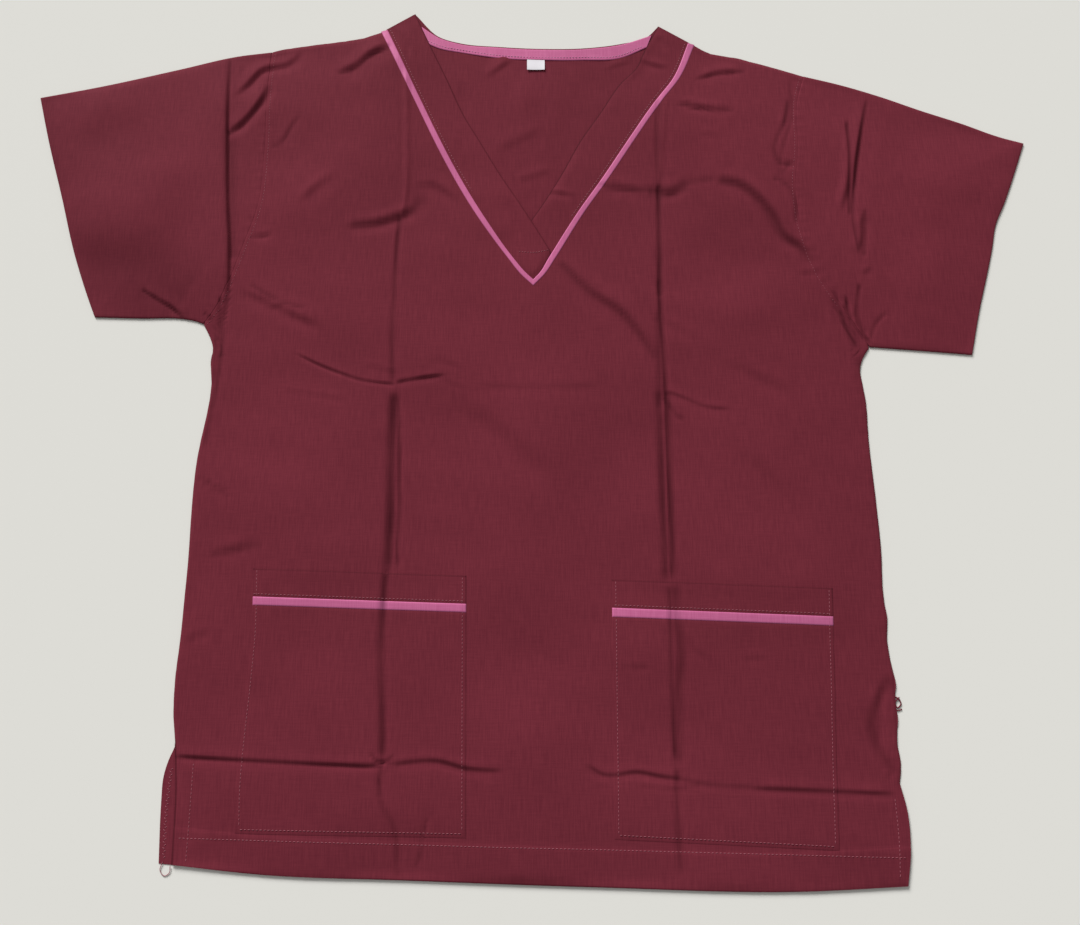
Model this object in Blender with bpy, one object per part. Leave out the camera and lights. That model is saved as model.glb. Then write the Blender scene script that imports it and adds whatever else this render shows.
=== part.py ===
"""A short-sleeved V-neck scrub top, laid flat on its back on a level surface.

Every size is in millimetres and becomes metres where a mesh is made. X runs across the top, Y from the hem
to the neck and Z up. The origin is on the surface, under the middle of the top's box.

The back panel and the lower layer of each sleeve lie on the surface. The front panel, the upper layer of
each sleeve and the neckbands lie over them as a sheet whose height is one function, lift(), so pieces that
meet at a seam stay level, and a pocket is the same sheet moved up.
"""

import bmesh
import bpy
import numpy as np

MM = 0.001
WALL = 1.0
GAP = 0.3
SEAM = 0.5 * GAP
FIRST_LAYER = WALL
SECOND_LAYER = FIRST_LAYER + GAP
FOLD_WALL = 1.4
LATTICE = 22.0
CUTTER_HEIGHT = 60.0
OPEN_END = 6.0
BODY_LOFT = 2.2
LOFT_REACH = 70.0
BAND_CROSSING = WALL + GAP

# Where the left neckband climbs over the right one, from its lowest to its full height.
CROSSING_TOP_Y = 215.0
CROSSING_FULL_Y = 192.0

BURGUNDY = (0.135, 0.022, 0.036)
PINK = (0.42, 0.13, 0.27)
WHITE = (0.70, 0.68, 0.71)

# The cut edges, each a run of (x, y) points. Left and right are the viewer's, seen from above.
HEM = [(-267, -361), (-200, -367), (-95, -371), (55, -376), (204, -379), (285, -375)]
VENT_LEFT = [(-272, -271), (-269, -300), (-267, -361)]
VENT_LEFT_BACK = [(-272, -271), (-279, -298), (-277, -360)]
VENT_RIGHT = [(285, -375), (289, -350), (289, -322), (285, -302)]
VENT_RIGHT_BACK = [(280, -375), (283, -340), (285, -302)]
SIDE_LEFT = [
    (-277, 75), (-271, 64), (-267, 50), (-266, 20), (-272, -28),
    (-274, -70), (-274, -160), (-276, -224), (-272, -271),
]
SIDE_RIGHT = [
    (285, -302), (287, -235), (284, -190), (285, -120), (283, -55),
    (282, 0), (279, 31), (282, 40), (289, 53),
]
ARMHOLE_LEFT = [
    (-235, 339), (-236, 300), (-235, 240), (-238, 179),
    (-247, 148), (-258, 112), (-268, 87), (-277, 75),
]
ARMHOLE_RIGHT = [
    (289, 53), (269, 88), (253, 114), (243, 140), (236, 175),
    (235, 205), (239, 237), (242, 290), (249, 314),
]
SLEEVE_LEFT_UNDER = [(-370, 80), (-294, 78), (-277, 75)]
SLEEVE_LEFT_CUFF = [(-441, 292), (-410, 191), (-392, 134), (-370, 80)]
SLEEVE_LEFT_TOP = [(-235, 339), (-264, 335), (-318, 321), (-389, 303), (-441, 292)]
SLEEVE_RIGHT_UNDER = [(289, 53), (325, 50), (375, 46)]
SLEEVE_RIGHT_CUFF = [(375, 46), (387, 92), (402, 143), (417, 186), (441, 246)]
SLEEVE_RIGHT_TOP = [(441, 246), (387, 266), (317, 293), (282, 305), (249, 314)]
SHOULDER_LEFT = [(-136, 360), (-155, 353), (-201, 346), (-235, 339)]
SHOULDER_RIGHT = [(249, 314), (192, 332), (156, 342), (151, 346)]
NECK_POINT_LEFT = [(-105, 379), (-119, 370), (-130, 362)]
NECK_POINT_RIGHT = [(145, 348), (131, 356), (118, 366)]
PIPING_LEFT_OUTER = [
    (-136, 360), (-104, 290), (-76, 230), (-44, 172), (-18, 134), (-7, 115), (4, 108),
]
PIPING_LEFT_INNER = [
    (-130, 362), (-98, 290), (-70, 230), (-38, 172), (-13, 134), (-1, 117), (4, 113),
]
PIPING_RIGHT_OUTER = [
    (4, 108), (14, 115), (23, 134), (45, 172), (70, 210),
    (95, 250), (121, 290), (136, 311), (151, 346),
]
PIPING_RIGHT_INNER = [
    (4, 113), (8, 117), (17, 134), (39, 172), (64, 210),
    (89, 250), (115, 290), (130, 311), (145, 348),
]
BAND_LEFT_INNER = [
    (19, 141), (10, 157), (-12, 191), (-26, 212), (-44, 250),
    (-58, 272), (-74, 316), (-91, 346), (-105, 379),
]
BAND_RIGHT_INNER = [
    (118, 366), (104, 338), (98, 324), (82, 306), (64, 277), (46, 249), (28, 214), (2, 171),
]
BAND_RIGHT_TUCK = [(-9, 156), (10, 127)]
BACK_NECK = [
    (118, 366), (109, 356), (83, 348), (55, 344), (10, 343),
    (-27, 345), (-64, 349), (-82, 355), (-105, 379),
]
FACING_TOP = [
    (108, 354), (83, 347), (55, 343), (10, 342), (-27, 344), (-64, 348), (-82, 354), (-93, 362),
]
FACING_LOWER = [(-89, 346), (-63, 339), (-27, 333), (10, 331), (46, 331), (83, 333), (101, 340)]
TAG = [(-2, 330.5), (-2, 321), (14, 321), (14, 330.5)]

# Patch pockets: their corners, and how far down each side the contrast piping starts and ends.
POCKETS = {
    "pocket_left": {
        "top_left": (-220, -136), "bottom_left": (-221, -338),
        "bottom_right": (-46, -341), "top_right": (-49, -142),
        "piping_from": 22.5, "piping_to": 29.5,
    },
    "pocket_right": {
        "top_left": (67, -145), "bottom_left": (66, -342),
        "bottom_right": (235, -350), "top_right": (243, -152),
        "piping_from": 22.5, "piping_to": 30.0,
    },
}

# Folds big enough to change the form.
# Columns: from (x, y), to (x, y), half width, height. A trough's height is below nothing.
FOLDS = [
    ((-405, 185), (-290, 160), 60, 4.5),
    ((-272, 300), (-262, 130), 24, 2.6),
    ((-262, 258), (-236, 300), 22, -3.0),
    ((-240, 318), (-205, 338), 20, 1.6),
    ((-168, 314), (-130, 340), 20, 2.4),
    ((-198, 188), (-170, 212), 24, 2.0),
    ((-158, 170), (-96, 192), 24, 3.4),
    ((-246, 112), (-176, 78), 24, 2.2),
    ((-112, 300), (-110, 210), 22, 1.6),
    ((-113, 20), (-107, -130), 22, 1.8),
    ((-114, -150), (-112, -350), 22, 1.6),
    ((113, 10), (113, -140), 22, 1.8),
    ((115, -160), (114, -350), 22, 1.6),
    ((66, 210), (150, 214), 24, 2.6),
    ((164, 214), (215, 180), 24, 3.2),
    ((215, 180), (240, 142), 22, 2.2),
    ((36, 138), (108, 52), 28, 3.0),
    ((120, 88), (146, 70), 20, 1.4),
    ((-60, 12), (24, -72), 32, 2.0),
    ((160, 48), (222, 14), 26, 1.8),
    ((172, -24), (230, -112), 30, 1.6),
    ((-190, 44), (-112, 24), 22, 1.8),
    ((-100, 24), (30, 26), 22, 1.6),
    ((-262, -281), (-20, -288), 22, 1.4),
    ((50, -292), (268, -306), 22, 1.4),
    ((302, 276), (287, 190), 24, 3.0),
    ((330, 230), (400, 190), 50, 2.0),
    ((300, 110), (370, 120), 45, 2.2),
    ((272, -220), (270, -275), 20, 1.6),
]


def joined(*edges):
    """The edges one after another as an array of points, with no point twice in a row."""
    points = []
    for edge in edges:
        for point in edge:
            if not points or point != points[-1]:
                points.append(point)
    if points[0] == points[-1]:
        points.pop()
    return np.array(points, float)


def points_of(outline):
    return [tuple(point) for point in outline]


def turned_back(edge):
    return edge[::-1]


def area_of(outline):
    following = np.roll(outline, -1, axis=0)
    return 0.5 * np.sum(outline[:, 0] * following[:, 1] - following[:, 0] * outline[:, 1])


def inset(outline, distance):
    """The closed outline moved inwards: each corner goes along the mean of its two sides' normals."""
    outline = outline if area_of(outline) > 0 else outline[::-1]
    forward = np.roll(outline, -1, axis=0) - outline
    forward /= np.linalg.norm(forward, axis=1, keepdims=True)
    inward = np.stack([-forward[:, 1], forward[:, 0]], axis=1)
    before = np.roll(inward, 1, axis=0)
    mean = inward + before
    mean /= np.maximum(np.sum(mean * inward, axis=1, keepdims=True), 0.5)
    return outline + distance * mean


def shifted(edge, distance):
    """An open edge moved sideways, to the left of the way it runs."""
    points = np.array(edge, float)
    forward = np.gradient(points, axis=0)
    forward /= np.linalg.norm(forward, axis=1, keepdims=True)
    moved = points + distance * np.stack([-forward[:, 1], forward[:, 0]], axis=1)
    return points_of(moved)


def distance_to_segment(x, y, start, end):
    start = np.array(start, float)
    along = np.array(end, float) - start
    part = ((x - start[0]) * along[0] + (y - start[1]) * along[1]) / (along @ along)
    part = np.clip(part, 0.0, 1.0)
    return np.hypot(x - start[0] - part * along[0], y - start[1] - part * along[1])


def silhouette():
    """The top seen from above, with the V of the neck as a notch."""
    right = joined(SLEEVE_RIGHT_UNDER, SLEEVE_RIGHT_CUFF, SLEEVE_RIGHT_TOP, SHOULDER_RIGHT)
    neck = joined(NECK_POINT_RIGHT, BAND_RIGHT_INNER, BAND_LEFT_INNER[2:], NECK_POINT_LEFT)
    left = joined(SHOULDER_LEFT, SLEEVE_LEFT_TOP, SLEEVE_LEFT_CUFF, SLEEVE_LEFT_UNDER)
    lower = (HEM, VENT_RIGHT, SIDE_RIGHT)
    return joined(*lower, *map(points_of, (right, neck, left)), SIDE_LEFT, VENT_LEFT)


SILHOUETTE = silhouette()


def lift(x, y):
    """How far the upper sheet is above lying dead flat: a low loft inside the edges, and the folds."""
    to_edge = np.full(np.shape(x), 1e6)
    for start, end in zip(SILHOUETTE, np.roll(SILHOUETTE, -1, axis=0)):
        to_edge = np.minimum(to_edge, distance_to_segment(x, y, start, end))
    inside = np.clip(to_edge / LOFT_REACH, 0.0, 1.0)
    height = BODY_LOFT * np.sin(0.5 * np.pi * inside)
    for start, end, half_width, rise in FOLDS:
        near = np.clip(distance_to_segment(x, y, start, end) / half_width, 0.0, 1.0)
        height = height + rise * np.cos(0.5 * np.pi * near) ** 2
    return np.maximum(height, 0.0)


def sheet_height(x, y):
    return SECOND_LAYER + lift(x, y)


def over_front(x, y):
    return sheet_height(x, y) + WALL + GAP


def crossing_height(x, y):
    """The left neckband: level with the front at the shoulder, on top of the right band at the V."""
    climbed = np.clip((CROSSING_TOP_Y - y) / (CROSSING_TOP_Y - CROSSING_FULL_Y), 0.0, 1.0)
    return sheet_height(x, y) + BAND_CROSSING * climbed


def flat_height(level):
    return lambda x, y: np.full(np.shape(x), level)


def above(height, distance):
    return lambda x, y: height(x, y) + distance


def material(name, colour):
    found = bpy.data.materials.get(name)
    if found:
        return found
    made = bpy.data.materials.new(name)
    made.use_nodes = True
    shader = made.node_tree.nodes["Principled BSDF"]
    shader.inputs["Base Color"].default_value = (*colour, 1.0)
    shader.inputs["Roughness"].default_value = 0.75
    shader.inputs["Metallic"].default_value = 0.0
    return made


def add_object(name, data, collection):
    piece = bpy.data.objects.new(name, data)
    collection.objects.link(piece)
    return piece


def block(name, outline, bottom, top, collection):
    """A closed block on the shared lattice, over the outline's box, between two height functions."""
    low = np.floor(outline.min(axis=0) / LATTICE - 0.5)
    high = np.ceil(outline.max(axis=0) / LATTICE + 0.5)
    cells = (high - low).astype(int)
    bm = bmesh.new()
    bmesh.ops.create_grid(bm, x_segments=int(cells[0]), y_segments=int(cells[1]), size=1.0)
    bmesh.ops.triangulate(bm, faces=bm.faces[:], quad_method="FIXED")
    lower = bm.verts[:]
    made = bmesh.ops.extrude_face_region(bm, geom=bm.faces[:])
    upper = [item for item in made["geom"] if isinstance(item, bmesh.types.BMVert)]
    for verts, height in ((lower, bottom), (upper, top)):
        place = np.array([vert.co[:2] for vert in verts])
        place = LATTICE * np.round(low + 0.5 * (place + 1.0) * cells)
        z = height(place[:, 0], place[:, 1])
        for vert, (x, y), level in zip(verts, place, z):
            vert.co = (x * MM, y * MM, level * MM)
    bmesh.ops.recalc_face_normals(bm, faces=bm.faces[:])
    mesh = bpy.data.meshes.new(name)
    bm.to_mesh(mesh)
    bm.free()
    return add_object(name, mesh, collection)


def prism(name, outline, cutters):
    """A tall block with the outline's plan, which a Boolean keeps or takes away."""
    bm = bmesh.new()
    base = [bm.verts.new((x * MM, y * MM, -CUTTER_HEIGHT * MM)) for x, y in outline]
    face = bm.faces.new(base)
    made = bmesh.ops.extrude_face_region(bm, geom=[face])
    upper = [item for item in made["geom"] if isinstance(item, bmesh.types.BMVert)]
    bmesh.ops.translate(bm, verts=upper, vec=(0.0, 0.0, 2.0 * CUTTER_HEIGHT * MM))
    bmesh.ops.recalc_face_normals(bm, faces=bm.faces[:])
    mesh = bpy.data.meshes.new(name)
    bm.to_mesh(mesh)
    bm.free()
    cutter = add_object(name, mesh, cutters)
    hide(cutter)
    return cutter


def hide(cutter):
    cutter.hide_render = True
    cutter.display_type = "WIRE"


def boolean(piece, cutter, operation):
    modifier = piece.modifiers.new(operation.lower(), "BOOLEAN")
    modifier.object = cutter
    modifier.operation = operation
    modifier.solver = "EXACT"


def finish_cloth(piece, colour_name, colour):
    piece.data.materials.append(material(colour_name, colour))
    if piece.type == "MESH":
        piece.data.shade_smooth()


def sheet_piece(name, outline, height, colour_name, colour, collection, cutters):
    """One layer of cloth: the lattice sheet at this height, WALL thick, kept inside its cut outline."""
    outline = inset(outline, SEAM)
    piece = block(name, outline, height, above(height, WALL), collection)
    boolean(piece, prism(name + "_cut", outline, cutters), "INTERSECT")
    finish_cloth(piece, colour_name, colour)


def flat_piece(name, outline, bottom, colour_name, colour, collection):
    """One flat layer of cloth: its outline as a filled curve, WALL thick."""
    outline = inset(outline, SEAM)
    curve = bpy.data.curves.new(name, "CURVE")
    curve.dimensions = "2D"
    curve.fill_mode = "BOTH"
    curve.extrude = 0.5 * WALL * MM
    spline = curve.splines.new("POLY")
    spline.points.add(len(outline) - 1)
    for point, (x, y) in zip(spline.points, outline):
        point.co = (x * MM, y * MM, 0.0, 1.0)
    spline.use_cyclic_u = True
    piece = add_object(name, curve, collection)
    piece.location.z = (bottom + 0.5 * WALL) * MM
    finish_cloth(piece, colour_name, colour)


def add_sleeve(name, folds, ends, collection, cutters):
    """A flattened tube: two layers joined along its two folds and open at its two ends.

    The four edges run anticlockwise, a fold first, then an end, then a fold, then an end.
    """
    outline = inset(joined(folds[0], ends[0], folds[1], ends[1]), SEAM)
    piece = block(name, outline, flat_height(0.0), above(sheet_height, WALL), collection)
    boolean(piece, prism(name + "_cut", outline, cutters), "INTERSECT")
    inside = joined(
        shifted(folds[0], FOLD_WALL), shifted(ends[0], -OPEN_END),
        shifted(folds[1], FOLD_WALL), shifted(ends[1], -OPEN_END),
    )
    hollow = block(name + "_hollow", inside, flat_height(FIRST_LAYER), sheet_height, cutters)
    boolean(hollow, prism(name + "_hollow_cut", inside, cutters), "INTERSECT")
    hide(hollow)
    boolean(piece, hollow, "DIFFERENCE")
    finish_cloth(piece, "burgundy_cloth", BURGUNDY)


def down_the_side(top, bottom, distance):
    top = np.array(top, float)
    along = np.array(bottom, float) - top
    return tuple(top + along * distance / np.linalg.norm(along))


def pocket_strip(pocket, start, end):
    """The part of a pocket between two depths below its top edge, as an outline."""
    left_top = down_the_side(pocket["top_left"], pocket["bottom_left"], start)
    left_bottom = down_the_side(pocket["top_left"], pocket["bottom_left"], end)
    right_bottom = down_the_side(pocket["top_right"], pocket["bottom_right"], end)
    right_top = down_the_side(pocket["top_right"], pocket["bottom_right"], start)
    return np.array([left_top, left_bottom, right_bottom, right_top])


def add_pocket(name, pocket, collection, cutters):
    """Turned-down top band, contrast piping and pocket bag, level with each other on the front panel."""
    depth = pocket["top_left"][1] - pocket["bottom_left"][1]
    rows = (
        ("band", 0.0, pocket["piping_from"], "burgundy_cloth", BURGUNDY),
        ("piping", pocket["piping_from"], pocket["piping_to"], "pink_cloth", PINK),
        ("bag", pocket["piping_to"], depth, "burgundy_cloth", BURGUNDY),
    )
    for part, start, end, colour_name, colour in rows:
        strip = pocket_strip(pocket, start, end)
        sheet_piece(f"{name}_{part}", strip, over_front, colour_name, colour, collection, cutters)


def add_body(collection, cutters):
    back = joined(
        HEM[1:-1], VENT_RIGHT_BACK, SIDE_RIGHT, ARMHOLE_RIGHT, SHOULDER_RIGHT, NECK_POINT_RIGHT,
        BACK_NECK, NECK_POINT_LEFT, SHOULDER_LEFT, ARMHOLE_LEFT, SIDE_LEFT, VENT_LEFT_BACK,
    )
    flat_piece("back_panel", back, 0.0, "burgundy_cloth", BURGUNDY, collection)
    front = joined(
        HEM, VENT_RIGHT, SIDE_RIGHT, ARMHOLE_RIGHT, SHOULDER_RIGHT, turned_back(PIPING_RIGHT_OUTER),
        turned_back(PIPING_LEFT_OUTER), SHOULDER_LEFT, ARMHOLE_LEFT, SIDE_LEFT, VENT_LEFT,
    )
    sheet_piece("front_panel", front, sheet_height, "burgundy_cloth", BURGUNDY, collection, cutters)


def add_neck(collection, cutters):
    pipings = (
        ("neck_piping_left", joined(PIPING_LEFT_OUTER, turned_back(PIPING_LEFT_INNER))),
        ("neck_piping_right", joined(PIPING_RIGHT_OUTER, turned_back(PIPING_RIGHT_INNER))),
    )
    for name, outline in pipings:
        sheet_piece(name, outline, sheet_height, "pink_cloth", PINK, collection, cutters)
    left = joined(
        turned_back(NECK_POINT_LEFT), turned_back(BAND_LEFT_INNER), turned_back(PIPING_RIGHT_INNER[:3]),
        turned_back(PIPING_LEFT_INNER),
    )
    sheet_piece("neckband_left", left, crossing_height, "burgundy_cloth", BURGUNDY, collection, cutters)
    right = joined(PIPING_RIGHT_INNER[2:], NECK_POINT_RIGHT, BAND_RIGHT_INNER, BAND_RIGHT_TUCK)
    sheet_piece("neckband_right", right, sheet_height, "burgundy_cloth", BURGUNDY, collection, cutters)
    facing = joined(FACING_TOP, FACING_LOWER)
    flat_piece("back_neck_facing", facing, SECOND_LAYER, "pink_cloth", PINK, collection)
    flat_piece("size_tag", np.array(TAG, float), SECOND_LAYER, "white_tape", WHITE, collection)


def clear_scene():
    for item in list(bpy.data.objects):
        bpy.data.objects.remove(item, do_unlink=True)


def new_collection(name):
    made = bpy.data.collections.new(name)
    bpy.context.scene.collection.children.link(made)
    return made


def main():
    clear_scene()
    top = new_collection("scrub_top")
    cutters = new_collection("cutters")
    add_body(top, cutters)
    left_ends = (SLEEVE_LEFT_CUFF, turned_back(ARMHOLE_LEFT))
    add_sleeve("sleeve_left", (SLEEVE_LEFT_TOP, SLEEVE_LEFT_UNDER), left_ends, top, cutters)
    right_ends = (SLEEVE_RIGHT_CUFF, turned_back(ARMHOLE_RIGHT))
    add_sleeve("sleeve_right", (SLEEVE_RIGHT_UNDER, SLEEVE_RIGHT_TOP), right_ends, top, cutters)
    add_neck(top, cutters)
    for name, pocket in POCKETS.items():
        add_pocket(name, pocket, top, cutters)


main()
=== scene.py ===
"""A short-sleeved V-neck scrub top laid flat on a pale floor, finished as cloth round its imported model.

The tables are in millimetres and become metres where a mesh is made. X runs across the top, Y from the
hem to the neck and Z up. The front, the upper layers of the sleeves, the neckbands and the pockets all take
their height from one function, upper(), so pieces that meet at a seam stay level and share each fold.
"""

import math

import bpy
import numpy as np
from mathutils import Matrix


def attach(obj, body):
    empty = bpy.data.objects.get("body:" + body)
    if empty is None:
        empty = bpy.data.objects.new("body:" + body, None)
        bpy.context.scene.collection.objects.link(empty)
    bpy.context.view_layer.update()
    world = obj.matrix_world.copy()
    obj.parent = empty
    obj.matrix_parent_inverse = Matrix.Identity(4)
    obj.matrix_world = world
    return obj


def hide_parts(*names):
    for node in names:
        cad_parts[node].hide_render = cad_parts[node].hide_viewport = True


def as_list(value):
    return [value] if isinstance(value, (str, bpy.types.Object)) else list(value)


bl_info = {
    "name": "Scrub Top",
    "version": (1, 0, 0),
    "blender": (4, 5, 0),
    "location": "View3D > Sidebar > Scrub Top",
    "description": "Builds a laid-flat scrub top, its stitching and its stage",
    "category": "Object",
}

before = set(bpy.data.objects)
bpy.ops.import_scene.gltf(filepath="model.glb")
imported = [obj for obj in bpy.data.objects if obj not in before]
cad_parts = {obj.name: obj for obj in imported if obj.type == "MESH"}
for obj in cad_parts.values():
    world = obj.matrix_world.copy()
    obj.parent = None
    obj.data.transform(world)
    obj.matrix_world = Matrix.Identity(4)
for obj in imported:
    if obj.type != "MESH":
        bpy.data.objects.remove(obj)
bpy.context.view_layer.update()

MM = 0.001

# Heights above the floor, in millimetres.
FLOOR_GAP = 0.05
LOWER_TOP = 0.5
UPPER_BASE = 1.75
FOLD_LEVEL = 0.85
SEAM_LEVEL = 0.6
POCKET_RISE = 0.5
BAND_RISE = 0.15
PIPING_RISE = 0.45
CROSSING_RISE = 0.8
FACING_RISE = 0.65
LOFT_REACH = 70.0

# Other lengths, in millimetres.
SEAM_ROLL = 2.4
SLEEVE_LENGTH = 206.0
SLEEVE_WIDTH = 250.0
SLEEVE_FINE_LENGTH = 72.0
POCKET_ROLL = 3.5
BAND_ROLL = 1.5
PIPING_ROLL = 1.1
STITCH_INSET = 3.2
TAG_THICKNESS = 0.3
DARKEST_TROUGH = 1.5

# Where extra mesh lines run beside a press-fold.
FOLD_OFFSETS = (-2.7, -1.35, 0.0, 1.35, 2.7)

# The cut edges, each a run of (x, y) points. Left and right are the viewer's, seen from above.
HEM = [(-267, -361), (-200, -367), (-95, -371), (55, -376), (204, -379), (285, -375)]
VENT_LEFT = [(-267, -361), (-269, -300), (-272, -271)]
VENT_LEFT_BACK = [(-277, -360), (-279, -314), (-279, -298), (-272, -271)]
VENT_RIGHT = [(285, -375), (289, -350), (289, -322), (285, -302)]
VENT_RIGHT_BACK = [(280, -375), (283, -340), (285, -302)]
SIDE_LEFT = [
    (-272, -271), (-275, -250), (-276, -224), (-274.5, -190), (-274, -160), (-273.5, -129), (-274, -96),
    (-274, -70), (-273, -46), (-271, -28), (-268, -7), (-266, 18), (-268, 42), (-267, 52), (-271, 63),
    (-277, 74),
]
SIDE_RIGHT = [
    (285, -302), (287, -288), (285.5, -270), (287.5, -252), (286.5, -238), (288, -228), (285.5, -210),
    (284, -193), (285.5, -177), (284, -161), (285, -120), (284, -79), (282, -28), (282, 6), (280, 24),
    (279, 32), (282, 42), (289, 53),
]
ARMHOLE_LEFT = [
    (-277, 74), (-268, 87), (-258, 112), (-247, 148), (-238, 179), (-235, 240), (-236, 300), (-235, 339),
]
ARMHOLE_RIGHT = [
    (289, 53), (269, 88), (253, 114), (243, 140), (236, 175), (235, 205), (239, 237), (242, 290),
    (249, 314),
]
SLEEVE_LEFT_TOP = [(-235, 339), (-264, 335), (-318, 321), (-389, 303), (-441, 292)]
SLEEVE_LEFT_UNDER = [(-277, 74), (-284, 76.5), (-295, 78.5), (-330, 79), (-370, 80)]
SLEEVE_LEFT_CUFF = [(-441, 292), (-429, 250), (-410, 191), (-392, 134), (-377, 96), (-370, 80)]
SLEEVE_RIGHT_TOP = [(249, 314), (282, 305), (317, 293), (352, 279), (387, 266), (421, 252), (441, 246)]
SLEEVE_RIGHT_UNDER = [(289, 53), (315, 51), (340, 49), (375, 46)]
SLEEVE_RIGHT_CUFF = [
    (441, 246), (427, 210), (417, 186), (408, 167), (402, 143), (394, 115), (387, 92), (375, 46),
]
SHOULDER_LEFT = [(-235, 339), (-228, 341), (-201, 346), (-174, 350), (-155, 353), (-136, 360)]
SHOULDER_RIGHT = [(151, 346), (156, 342), (192, 332), (228, 321), (249, 314)]
NECK_POINT_LEFT = [(-136, 360), (-130, 362), (-119, 370), (-105, 379)]
NECK_POINT_RIGHT = [(118, 366), (131, 356), (145, 348), (151, 346)]
BACK_NECK = [
    (-105, 379), (-82, 355), (-64, 349), (-27, 345), (10, 343), (55, 344), (83, 348), (109, 356),
    (118, 366),
]
PIPING_LEFT_OUTER = [(4, 108), (-7, 119), (-18, 134), (-44, 172), (-76, 230), (-104, 290), (-136, 360)]
PIPING_LEFT_INNER = [(4, 114), (-3, 121), (-13, 134), (-38, 172), (-70, 230), (-98, 290), (-130, 362)]
PIPING_RIGHT_OUTER = [
    (4, 108), (14, 119), (23, 134), (45, 172), (70, 210), (95, 250), (121, 290), (136, 311), (151, 346),
]
PIPING_RIGHT_INNER = [
    (4, 114), (10, 121), (17, 134), (39, 172), (64, 210), (89, 250), (115, 290), (130, 311), (145, 348),
]
BAND_LEFT_INNER = [
    (19, 141), (10, 157), (-10.5, 191), (-24, 213), (-45, 250), (-58, 273), (-75, 312), (-91, 347),
    (-105, 379),
]
BAND_RIGHT_INNER = [
    (-9, 156), (2, 171), (28, 214), (46, 249), (64, 277), (82, 306), (98, 324), (104, 338), (118, 366),
]
FACING_TOP = [(-99, 366), (-82, 354), (-64, 348), (-27, 344), (10, 342), (55, 343), (83, 347), (112, 357)]
FACING_LOWER = [(-95, 349), (-82, 343), (-63, 339), (-27, 333), (10, 331), (46, 331), (83, 333), (107, 344)]
TAG = (-2.0, 14.0, 320.5, 332.5)

# Patch pockets: corners, and how far below the top edge the contrast strip starts and ends.
POCKETS = {
    "left": ((-220, -136), (-221, -338), (-46, -341), (-49, -142), 22.5, 29.5),
    "right": ((67, -145), (66, -342), (235, -350), (243, -152), 22.5, 30.0),
}
# The sides of the left pocket lean out below its strip.
POCKET_LEFT_SIDE = [(-220, -136), (-218, -190), (-219, -224), (-221, -262), (-222, -300), (-221, -338)]

# Folds left by packing: the sheet climbs gently to one side of the line and drops over the wall beyond it.
# Columns: left height, right height, left width, right width, wall width, points.
# Left and right are those of someone walking along the points. Lines near each other make a double fold.
PRESSED = [
    (0.9, 0.9, 5, 3.5, 1, [(-112.5, 324), (-109.5, 270), (-108.5, 196), (-112, 160)]),
    (-0.4, -0.4, 2.6, 2.6, 1, [(-117, 310), (-114, 270), (-113, 200)]),
    (-0.3, 0.4, 7, 7, 3.2, [(-112, 172), (-115, 150), (-113, 96), (-112, 24)]),
    (-0.4, 0.7, 14, 14, 7, [(-112, 18), (-112, -62), (-111, -137)]),
    (-0.4, 0.5, 9, 9, 4.2, [(-115, -132), (-113, -193), (-111, -239), (-110, -283)]),
    (-0.3, 0.3, 8, 8, 3, [(-110, -290), (-111, -314), (-100, -335), (-97, -371)]),
    (-0.3, 0.3, 8, 8, 3, [(124, 292), (122, 262), (114, 191)]),
    (-0.4, 0.6, 8, 9, 4, [(112, 112), (112, 80), (113, 50), (114, 10)]),
    (0.5, 0.6, 13, 13, 6, [(113, 10), (113, -60), (113, -147)]),
    (-0.3, 0.3, 9, 9, 4.6, [(115, -150), (114, -230), (114, -314), (116, -369)]),
    (0.4, -0.4, 8, 5, 2.2, [(-196, 47), (-176, 37), (-159, 30), (-142, 24), (-110, 19)]),
    (0.45, -0.35, 7, 5, 3.2, [(-138, 36), (-124, 33), (-110, 30)]),
    (0.6, -0.55, 7, 9, 3.6, [(-111, 21), (-91, 25), (-70, 28)]),
    (0.2, -0.5, 5, 9, 3, [(-80, 43), (-57, 35)]),
    (0.3, -0.35, 6, 6, 3, [(-76, 26), (-50, 14)]),
    (0.35, -0.3, 8, 8, 4, [(-206, 15), (-152, 6)]),
    (0.25, -0.35, 14, 14, 9, [(-44, 18), (27, 17), (62, 18)]),
    (0.6, -0.5, 8, 9, 4.4, [(113, 14), (131, 7), (144, 1), (168, -3)]),
    (0.8, -0.6, 5, 5, 2.4, [(113, 8), (118, -1), (127, -12)]),
    (0.65, -0.65, 9, 10, 3.6, [(-276, -281), (-221, -284), (-160, -287), (-108, -289)]),
    (0.8, -0.7, 10, 10, 4.8, [(-104, -287), (-67, -285), (-48, -290), (-18, -292)]),
    (0.6, -0.6, 8, 8, 4.4, [(46, -287), (56, -294), (86, -293), (102, -296), (119, -298)]),
    (0.4, -0.4, 6, 6, 3.6, [(54, -303), (72, -299)]),
    (0.35, -0.35, 6, 6, 4, [(84, -302), (121, -304), (134, -301)]),
    (0.5, -0.45, 9, 9, 4.4, [(170, -305), (209, -306), (278, -309)]),
]

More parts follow.
